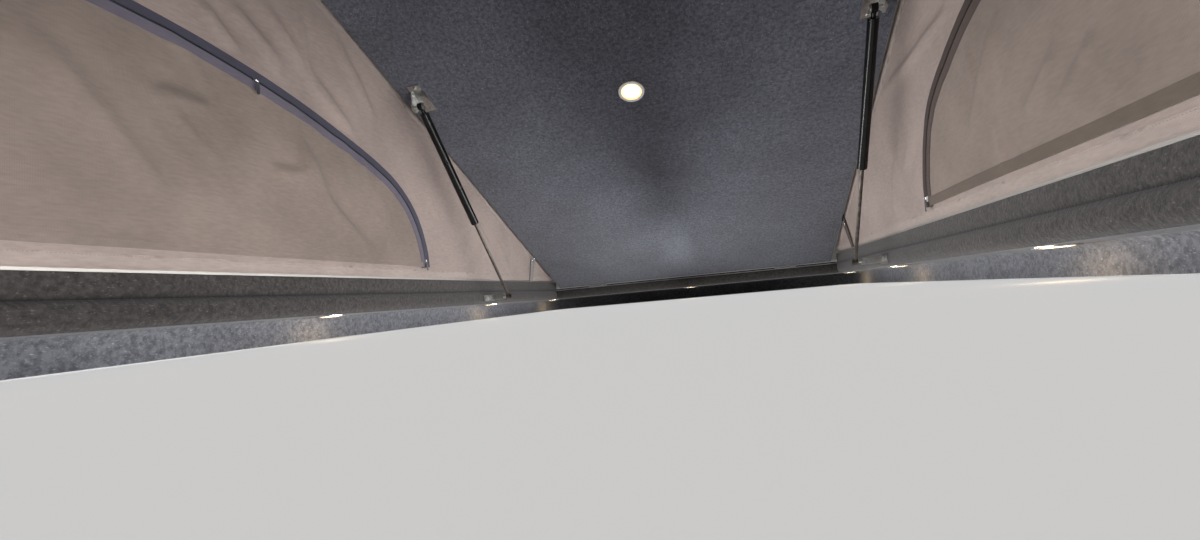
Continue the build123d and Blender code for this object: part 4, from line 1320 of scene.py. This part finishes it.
flap_pieces = {}
for side in SIDES:
    lift = side_lift(side, FLAP_DEPTH + TAPE_OVER, True)
    flap_pieces[side], teeth_line = zip_parts(side, flap_arcs, lift, ZIPS[side], on_canvas)
    outer_tape, inner_tape, _ = ZIPS[side]
    for part, inset, colour in (("outer", SEWN_IN, outer_tape), ("inner", ZIP_WIDTH - SEWN_IN, inner_tape)):
        line = np.vstack(moved_in(flap_arcs, inset))
        row = stitches(f"zip_stitches_{part}_{side}", line, lift, TAPE / 2, colour)
        flap_pieces[side].append(on_canvas(row, "webbing"))
    for number, place in enumerate(SLIDERS):
        piece = zip_slider(f"zip_slider_{side}_{number}", place, teeth_line, lift, TAPE / 2 + SLIDER_OVER)
        flap_pieces[side].append(on_canvas(piece, "zinc"))
    print(side, "zip of", length_of(teeth_line), "m")

# %% [markdown]
# ## The front zip
# The front flap has the same zip down its sides and across its top, and is sewn along the bottom. Its
# outline is a rounded rectangle, so the zip's line is the part of that outline above the lower corners. The
# points come in order once they are sorted by their angle about the middle of the flap's foot.

# %% Zip on the front flap
ZIP_FOOT_Z = front_flap_low[1] + 0.05
upper = front_flap_outline[front_flap_outline[:, 1] > ZIP_FOOT_Z]
front_arc = [upper[np.argsort(np.arctan2(upper[:, 1] - ZIP_FOOT_Z, upper[:, 0]))]]
lift = front_lift(FLAP_DEPTH + TAPE_OVER, True)
front_pieces, teeth_line = zip_parts("front", front_arc, lift, ZIPS["left"], on_front)
piece = zip_slider("zip_slider_front", teeth_line[4], teeth_line, lift, TAPE / 2 + SLIDER_OVER)
front_pieces.append(on_front(piece, "zinc"))
print("front zip of", length_of(teeth_line), "m")

# %% [markdown]
# ## Where the bands run
# Where canvas meets a rail it is folded double and sewn, so a paler, stiffer band runs along each rail, and
# the side and front canvases are bound together at the front corners. Each band is a strip with four corners
# on the flat outline, found by stepping inward from the rail, the seam or the corner by the band's width.

# %% Corners of the bands
HEM, BINDING, SEWN_BACK = 0.022, 0.016, 0.003


def stepped(place, way, amount):
    """A place moved some way along a direction."""
    return tuple(np.array(place) + way * amount)


def seam_place(z):
    """Place on the top seam at a height."""
    return REAR_TOP[0] - (z - REAR_TOP[1]) / math.tan(OPEN), z


seam_run = np.array(FRONT_TOP) - np.array(REAR_TOP)
seam_run /= np.linalg.norm(seam_run)
seam_down = np.array([-seam_run[1], seam_run[0]])
front_up = np.array([FRONT_TOP[0] - FRONT_FOOT_Y, FRONT_TOP[1] - SILL_Z])
front_up /= np.linalg.norm(front_up)
front_in = np.array([front_up[1], -front_up[0]])
foot, peak, hem_end = (FRONT_FOOT_Y, SILL_Z), FRONT_TOP, seam_place(SILL_Z + HEM)
low_seam, stitch_start = seam_place(SILL_Z + 0.05), seam_place(SILL_Z + 0.06)
SIDE_BANDS = {
    "rail_hem": [foot, (REAR_FOOT_Y, SILL_Z), REAR_TOP, hem_end, stepped(foot, front_up, HEM)],
    "seam_hem": [stepped(low_seam, seam_down, HEM), low_seam, peak, stepped(peak, seam_down, HEM)],
    "corner_binding": [foot, stepped(foot, front_in, BINDING), stepped(peak, front_in, BINDING), peak],
}
sewn_z, sewn_down, sewn_in = SILL_Z + HEM - SEWN_BACK, HEM - SEWN_BACK, BINDING - SEWN_BACK
STITCH_ROWS = {
    "rail": [(FRONT_FOOT_Y + 0.02, sewn_z), (seam_place(SILL_Z + HEM + 0.004)[0], sewn_z)],
    "seam": [stepped(peak, seam_down, sewn_down), stepped(stitch_start, seam_down, sewn_down)],
    "corner": [stepped((FRONT_FOOT_Y, SILL_Z + 0.01), front_in, sewn_in), stepped(peak, front_in, sewn_in)],
}
print("bands on each side:", len(SIDE_BANDS), "with stitches on", len(STITCH_ROWS))

# %% [markdown]
# ## Hems, bindings and stitches
# A band is one more strip of the same surface, a millimetre inside the canvas. A bump could fake its
# stitches, but they are what make it read as sewn, so each row is modelled, one small stitch every four
# millimetres.

# %% Hems of the side canvases
BAND, BAND_OVER, BAND_MESH = 0.0010, 0.0013, 0.009
hem_shade = cloth("hem_shade", (0.46, 0.385, 0.35), 0.2)
canvas_pieces = {side: [] for side in SIDES}
for side in SIDES:
    lift = side_lift(side, BAND_OVER, False)
    for band, corners in SIDE_BANDS.items():
        shade = binding if band == "corner_binding" else hem_shade
        piece = sheet_mesh(f"{band}_{side}", dense(corners), [], BAND_MESH, lift, BAND, shade)
        canvas_pieces[side].append(on_canvas(piece, "canvas"))
    for row, ends in STITCH_ROWS.items():
        piece = stitches(f"{row}_stitches_{side}", np.array(ends), lift, BAND / 2, thread)
        canvas_pieces[side].append(on_canvas(piece, "webbing"))
print("pieces on each canvas:", {side: len(pieces) for side, pieces in canvas_pieces.items()})

# %% [markdown]
# ## The foot of each flap
# No zip runs along a flap's foot. It is hemmed and sewn down there. On one side the hem is a darker cloth, as
# painted shade for the doubled cloth that lets less light through, and on the other it is the flap's own
# cloth, so one loop makes both from a short table.

# %% Hem along the foot of each flap
FLAP_HEM_MESH = 0.007
# The darker hem cloth is painted shade for the doubled cloth, which lets less light through.
hem_painted_shade = cloth("hem_painted_shade", (0.125, 0.098, 0.078), 0.0)
FLAP_HEM = {"left": (0.018, hem_painted_shade, thread_dark), "right": (0.012, flap_cloth, thread)}
rear_end, front_end = FLAP_CORNERS[0][0] - 0.026, FLAP_CORNERS[-1][0] + 0.028
for side, (deep, shade, sewn) in FLAP_HEM.items():
    lift, top = side_lift(side, FLAP_DEPTH + BAND_OVER, True), FLAP_SILL + deep
    corners = [(rear_end, FLAP_SILL), (rear_end - 0.004, top)]
    corners += [(front_end + 0.004, top), (front_end, FLAP_SILL)]
    piece = sheet_mesh(f"flap_hem_{side}", dense(corners), [], FLAP_HEM_MESH, lift, BAND, shade)
    flap_pieces[side].append(on_canvas(piece, "window_canvas"))
    row = np.array([(rear_end - 0.006, top - SEWN_BACK), (front_end + 0.006, top - SEWN_BACK)])
    piece = stitches(f"flap_hem_stitches_{side}", row, lift, BAND / 2, sewn)
    flap_pieces[side].append(on_canvas(piece, "webbing"))
print("flap hems of", round(front_end - rear_end, 3), "m")

# %% [markdown]
# ## The front's hems
# The front canvas has a hem along the lower rail and one along the upper, each with its row of stitches. They
# are strips like the sides', laid on the leaning front.

# %% Hems of the front canvas
low_x, high_x, top_z = FRONT_LOW_X - 0.002, FRONT_HIGH_X - 0.002, FRONT_TOP[1]
hem_x, hem_z = low_x - 0.001, SILL_Z + HEM
front_bands = {
    "front_rail_hem": [(-low_x, SILL_Z), (low_x, SILL_Z), (hem_x, hem_z), (-hem_x, hem_z)],
    "front_top_hem": [(-high_x, top_z - HEM), (high_x, top_z - HEM), (high_x, top_z), (-high_x, top_z)],
}
lift, front_canvas_pieces = front_lift(BAND_OVER, False), []
for band, corners in front_bands.items():
    piece = sheet_mesh(band, dense(corners), [], BAND_MESH, lift, BAND, hem_shade)
    front_canvas_pieces.append(on_front(piece, "canvas"))
for number, z in enumerate((SILL_Z + HEM - SEWN_BACK, top_z - HEM + SEWN_BACK)):
    row = np.array([(-FRONT_HIGH_X + 0.01, z), (FRONT_HIGH_X - 0.01, z)])
    piece = stitches(f"front_stitches_{number}", row, lift, BAND / 2, thread)
    front_canvas_pieces.append(on_front(piece, "webbing"))
print("front hems:", len(front_bands))

# %% [markdown]
# ## Straps
# Near the rear of each side a webbing strap draws the canvas inward as the top comes down. Flat webbing keeps
# its width and folds only at its ends, so it is a strip laid over the canvas, with a wire ring where it is
# hooked to the top's edge and a row of stitches along each border.

# %% Straps
STRAP_DEPTH, WEB, WEB_MESH, WEB_STITCH = 0.0048, 0.0018, 0.005, 0.0034
STRAP_HALF, STRAP_Y, STRAP_LEAN = 0.015, 0.853, 0.034 / 0.387
RING_RADIUS, RING_WIRE, RING_DOWN, RING_OVER = 0.0095, 0.0012, 0.014, 0.0024
strap_grey = cloth("strap_grey", (0.27, 0.255, 0.25), 0.0)
strap_brown = cloth("strap_brown", (0.075, 0.055, 0.047), 0.0)


def strap_place(z, across):
    return STRAP_Y + across - STRAP_LEAN * z, z


def strap_top(across):
    """Height at which one edge of the strap meets the top seam."""
    z = SILL_Z
    for _ in range(20):
        z = REAR_TOP[1] + (REAR_TOP[0] - (STRAP_Y + across - STRAP_LEAN * z)) * math.tan(OPEN)
    return z - 0.002


strap_foot, strap_head = SILL_Z + 0.001, strap_top(STRAP_HALF)
strap_corners = [strap_place(strap_foot, STRAP_HALF), strap_place(strap_head, STRAP_HALF)]
strap_corners += [strap_place(strap_top(-STRAP_HALF), -STRAP_HALF), strap_place(strap_foot, -STRAP_HALF)]
for side, shade in (("left", strap_brown), ("right", strap_grey)):
    lift = side_lift(side, STRAP_DEPTH, False)
    strap = sheet_mesh(f"strap_{side}", dense(strap_corners, WEB_MESH), [], WEB_MESH, lift, WEB, shade)
    for end, edge in (("front", -1), ("rear", 1)):
        inset = edge * (STRAP_HALF - 0.0025)
        row = np.array([strap_place(SILL_Z + 0.004, inset), strap_place(strap_head - 0.006, inset)])
        piece = stitches(f"strap_stitches_{side}_{end}", row, lift, WEB / 2, thread_dark, WEB_STITCH)
        on_canvas(piece, "webbing")
    middle, normal = lift(np.array([strap_place(strap_head - RING_DOWN, 0)]))
    hooked = standing(middle[0] + normal[0] * RING_OVER, normal[0], (0, 1, 0))
    on_canvas(made(f"strap_ring_{side}", [(ring(RING_RADIUS, RING_WIRE), hooked)], slider_silver), "zinc")
    on_canvas(strap, "webbing", "straps")
print("straps rise to", round(strap_head, 3), "m")

# %% [markdown]


# %% [markdown]
# ## A screw's head
# Brackets are held by pan head screws with a cross recess. The recess is what the eye knows them by. A bump
# would vanish at a slant, so it is cut as a real pocket: the head's top is a disc with a cross shaped hole,
# and the pocket's floor lies below.

# %% Pan head
HEAD_STEPS = 28
HEAD_PROFILE = [(1.0, 0.0), (1.0, 0.35), (0.93, 0.68), (0.80, 0.90), (0.66, 1.0)]
HEAD_HEIGHT = 0.62
CROSS_ARM, CROSS_HALF = 0.46, 0.12
POCKET_TAPER, POCKET_FLOOR = 0.8, 0.35
WELD = 1e-5


def cross_outline(arm, half):
    corners = [(arm, half), (half, half), (half, arm), (-half, arm), (-half, half), (-arm, half)]
    return corners + [(-x, -y) for x, y in corners]


def banded(low, high, count):
    """Faces between two rows of as many points, given the first index of each."""
    return [(low + i, low + (i + 1) % count, high + (i + 1) % count, high + i) for i in range(count)]


def pan_head(radius):
    """Pan head with a cross recess, standing on Z = 0."""
    height, turns = radius * HEAD_HEIGHT, round_steps(HEAD_STEPS)
    points = []
    for r, h in HEAD_PROFILE:
        points += [(radius * r * math.cos(t), radius * r * math.sin(t), height * h) for t in turns]
    faces = [tuple(range(HEAD_STEPS))]
    for k in range(len(HEAD_PROFILE) - 1):
        faces += banded(k * HEAD_STEPS, (k + 1) * HEAD_STEPS, HEAD_STEPS)
    flat_top = radius * HEAD_PROFILE[-1][0]
    top_circle = [(flat_top * math.cos(t), flat_top * math.sin(t)) for t in turns]
    pocket = [(x * radius, y * radius) for x, y in cross_outline(CROSS_ARM, CROSS_HALF)]
    flat, triangles = triangulated(top_circle, [pocket])
    faces += [tuple(len(points) + i for i in t) for t in triangles]
    points += [(x, y, height) for x, y in flat]
    wall, floor_start = len(points), len(points) + len(pocket)
    points += [(x, y, height) for x, y in pocket]
    points += [(x * POCKET_TAPER, y * POCKET_TAPER, height * POCKET_FLOOR) for x, y in pocket]
    faces += banded(wall, floor_start, len(pocket))
    return points, faces + [tuple(range(floor_start, len(points)))]


print("a pan head has", len(pan_head(0.004)[1]), "faces")

# %% [markdown]
# ## Screws in the brackets
# A screw sits in each hole of its bracket, on both sides of the roof. The places are given for the left side
# with the top closed, so that they line up with the brackets' holes, and the ones on the top are then turned
# open with it. No two screws stop at the same angle, so each is twisted a little more than the last.

# %% Screws
DOWN, INWARD, BACK = Vector((0, 0, -1)), Vector((-1, 0, 0)), Vector((0, 1, 0))
STRUT_X, CATCH_X, HINGE_X = 0.516, 0.42, 0.40
to_hinge = Matrix.Translation((0, HINGE_Y, HINGE_Z))
opened_turn = to_hinge @ Matrix.Rotation(-OPEN, 4, "X") @ to_hinge.inverted()
screw_zinc = plated("screw_zinc", (0.55, 0.55, 0.54), 0.33)
# Middle of each bracket, then the step to its screws, the way they face, radius, body and slot.
SCREWS = {
    "head_screws": ((STRUT_X, -0.040, 0.087), (0, 0.034), DOWN, 0.0042, "lifting_top", "zinc"),
    "keeper_screws": ((CATCH_X, -1.179, 0.087), (0.017, 0), DOWN, 0.0036, "lifting_top", "zinc"),
    "leaf_screws": ((HINGE_X, 1.103, 0.139), (0.030, 0), BACK, 0.0040, "lifting_top", "hinge_steel"),
    "foot_screws": ((0.585, 0.460, 0.074), (0, 0.026), INWARD, 0.0042, "fixed_roof", "zinc"),
    "catch_screws": ((CATCH_X, -1.209, 0.073), (0.0175, 0), BACK, 0.0032, "fixed_roof", "zinc"),
}
for name, ((x, y, z), (dx, dy), out, radius, body, slot_name) in SCREWS.items():
    turn = opened_turn if body == "lifting_top" else Matrix()
    along = (1, 0.2, 0) if out is DOWN else (0, 0.3, 1)
    shapes = []
    for sign in (1, -1):
        for number, step in enumerate((-1, 1)):
            place, facing = ((x + step * dx) * sign, y + step * dy, z), (out.x * sign, out.y, out.z)
            twist = Matrix.Rotation(0.7 * number + 0.5 * sign, 4, "Z")
            shapes.append((pan_head(radius), turn @ standing(place, facing, along) @ twist))
    fixed(made(name, shapes, screw_zinc, weld=WELD), body)
print("screws:", 4 * len(SCREWS))

# %% [markdown]
# ## Pins and collars of the struts
# Each strut's upper eye turns on a pin that has a washer and a spring clip inside and a nut outside, and the
# tube is crimped over its guide near both ends. All are turned shapes, set along the strut's own line, which
# runs from one pin to the other.

# %% Pins and collars
HEAD_PIN, FOOT_PIN = Vector((STRUT_X, 0.048489, 0.559148)), Vector((STRUT_X, 0.460, 0.074))
COLLARS = (0.0195, 0.330, 0.346)
PIN_INNER, PIN_OUTER, CLIP_OVER, PIN_BEVEL = 0.0064, 0.0191, 0.0012, 0.0002
washer = mm([(4.2, 0), (8.8, 0), (8.8, 1.1), (4.2, 1.1), (4.2, 0)])
clip = mm([(4.1, 0), (6.4, 0.2), (6.8, 0.7), (6.4, 1.2), (4.1, 1.4), (4.1, 0)])
nut = mm([(0, 0), (6.2, 0), (7.0, 0.8), (7.0, 3.8), (6.2, 4.6), (0, 4.6)])
crimp = mm([(11.0, 0), (11.4, 0.6), (11.4, 2.2), (11.0, 2.8), (11.0, 0)])
run = (FOOT_PIN - HEAD_PIN).normalized()
for side, (sign, *_) in SIDES.items():
    inward, head = Vector((-sign, 0, 0)), Vector((STRUT_X * sign, HEAD_PIN.y, HEAD_PIN.z))
    pin_end = head + inward * PIN_INNER
    shapes = [
        (loop_lathe(washer), standing(pin_end, inward, run)),
        (loop_lathe(clip), standing(pin_end + inward * CLIP_OVER, inward, run)),
        (lathe(nut, 6), standing(head - inward * PIN_OUTER, -inward, run)),
    ]
    fixed(made(f"head_pin_{side}", shapes, screw_zinc, PIN_BEVEL), "lifting_top")
    collars = [(loop_lathe(crimp), standing(head + run * along, run, (1, 0, 0))) for along in COLLARS]
    fixed(made(f"tube_collars_{side}", collars, strut_black), f"tube_{side}")
print("struts are", round((FOOT_PIN - HEAD_PIN).length, 3), "m from pin to pin")

# %% [markdown]
# ## Studio world and floor
# The picture needs plain soft light and a pale floor. A white world lights the object at half strength, and
# what the camera sees of it is white all the same: Light Path tells the two kinds of ray apart. The floor
# does that too. It mixes in some white for what the camera sees, and the rest of its colour still takes the
# object's shadow.

# %% World and floor
WORLD_LIGHT = 0.50
FLOOR_WHITE, FLOOR_HALF = 0.6, 30


def seen_by_rays(tree):
    """1 for camera, glossy and transmission rays."""
    path = tree.nodes.new("ShaderNodeLightPath")
    first = maths(tree, "MAXIMUM", path.outputs["Is Camera Ray"], path.outputs["Is Glossy Ray"])
    return maths(tree, "MAXIMUM", first, path.outputs["Is Transmission Ray"])


def mixed(tree, share, first, second, surface):
    """Mixes two shaders by a share and sends the result to the surface."""
    mix = tree.nodes.new("ShaderNodeMixShader")
    tree.links.new(share, mix.inputs["Fac"])
    tree.links.new(first.outputs[0], mix.inputs[1])
    tree.links.new(second.outputs[0], mix.inputs[2])
    tree.links.new(mix.outputs[0], surface.inputs["Surface"])


def studio_world():
    world = bpy.data.worlds.new("studio")
    world.use_nodes = True
    tree = world.node_tree
    seen, light = tree.nodes["Background"], tree.nodes.new("ShaderNodeBackground")
    for background, strength in ((seen, 1.0), (light, WORLD_LIGHT)):
        background.inputs["Strength"].default_value = strength
        background.inputs["Color"].default_value = (1, 1, 1, 1)
    mixed(tree, seen_by_rays(tree), light, seen, tree.nodes["World Output"])
    bpy.context.scene.world = world


def studio_floor():
    material, shader = finish("studio_floor", (0.78, 0.78, 0.77), 0.9)
    tree = material.node_tree
    white = tree.nodes.new("ShaderNodeEmission")
    white.inputs["Color"].default_value = (0.93, 0.93, 0.925, 1)
    share = maths(tree, "MULTIPLY", seen_by_rays(tree), FLOOR_WHITE)
    mixed(tree, share, shader, white, tree.nodes["Material Output"])
    mesh = bpy.data.meshes.new("floor")
    corners = [(x * FLOOR_HALF, y * FLOOR_HALF, 0) for x, y in ((-1, -1), (1, -1), (1, 1), (-1, 1))]
    mesh.from_pydata(corners, [], [(0, 1, 2, 3)])
    floor = linked("floor", mesh, material)
    return floor


studio_world()
floor = studio_floor()
print("floor of", 2 * FLOOR_HALF, "m")

# %% [markdown]
# ## Studio lights
# Three wide area lights stand round the outside, so that the shadows stay soft. Under the raised top none of
# them reaches, so one wide light lies just above the floor inside the opening and shines up, the way daylight
# comes up from a van's windows, and two strips beside it wash the rims and the foot of the canvas. They lie
# so near the floor that they would burn it white. Light linking leaves the floor out of their reach, and no
# light is seen by the camera.

# %% Lights
STRIP_X, STRIP_Y, STRIP_Z = 0.15, -0.15, 0.030
STRIP_SIZE, STRIP_SPREAD = (2.1, 0.05), 120
STRIP_AIM_X, STRIP_AIM_Z = 0.70, 0.17


def soft_light(name, place, aim, size, watts):
    """Wide area light that faces a point."""
    data = bpy.data.lights.new(name, "AREA")
    data.shape = "RECTANGLE"
    data.size, data.size_y = size
    data.energy = watts
    lamp = bpy.data.objects.new(name, data)
    bpy.context.collection.objects.link(lamp)
    lamp.location = place
    lamp.rotation_euler = (Vector(aim) - Vector(place)).to_track_quat("-Z", "Y").to_euler()
    lamp.visible_camera = False
    return lamp


def spare_floor(lamp):
    """Keeps a lamp under the roof off the floor that it lies on."""
    reach = bpy.data.collections.new(f"{lamp.name}_reach")
    reach.objects.link(floor)
    reach.collection_objects[0].light_linking.link_state = "EXCLUDE"
    lamp.light_linking.receiver_collection = reach


soft_light("key", (-3.2, -3.6, 4.2), (0, 0, 0.4), (3.0, 3.0), 72)
soft_light("fill", (3.8, -2.4, 3.4), (0, 0, 0.4), (3.0, 3.0), 46)
soft_light("back", (0.5, 4.6, 3.8), (0, 0, 0.4), (3.4, 2.4), 46)
from_below = soft_light("inside", (0, -0.10, 0.012), (0, -0.10, 1.0), (1.40, 2.7), 5.6)
from_below.visible_glossy = False
spare_floor(from_below)
for name, sign, watts in (("inside_left", 1, 5.2), ("inside_right", -1, 6.2)):
    place, aim = (-STRIP_X * sign, STRIP_Y, STRIP_Z), (STRIP_AIM_X * sign, STRIP_Y, STRIP_AIM_Z)
    strip = soft_light(name, place, aim, STRIP_SIZE, watts)
    strip.data.spread = math.radians(STRIP_SPREAD)
    spare_floor(strip)
bpy.context.scene.view_settings.view_transform = "Standard"
print("lights:", len(bpy.data.lights))
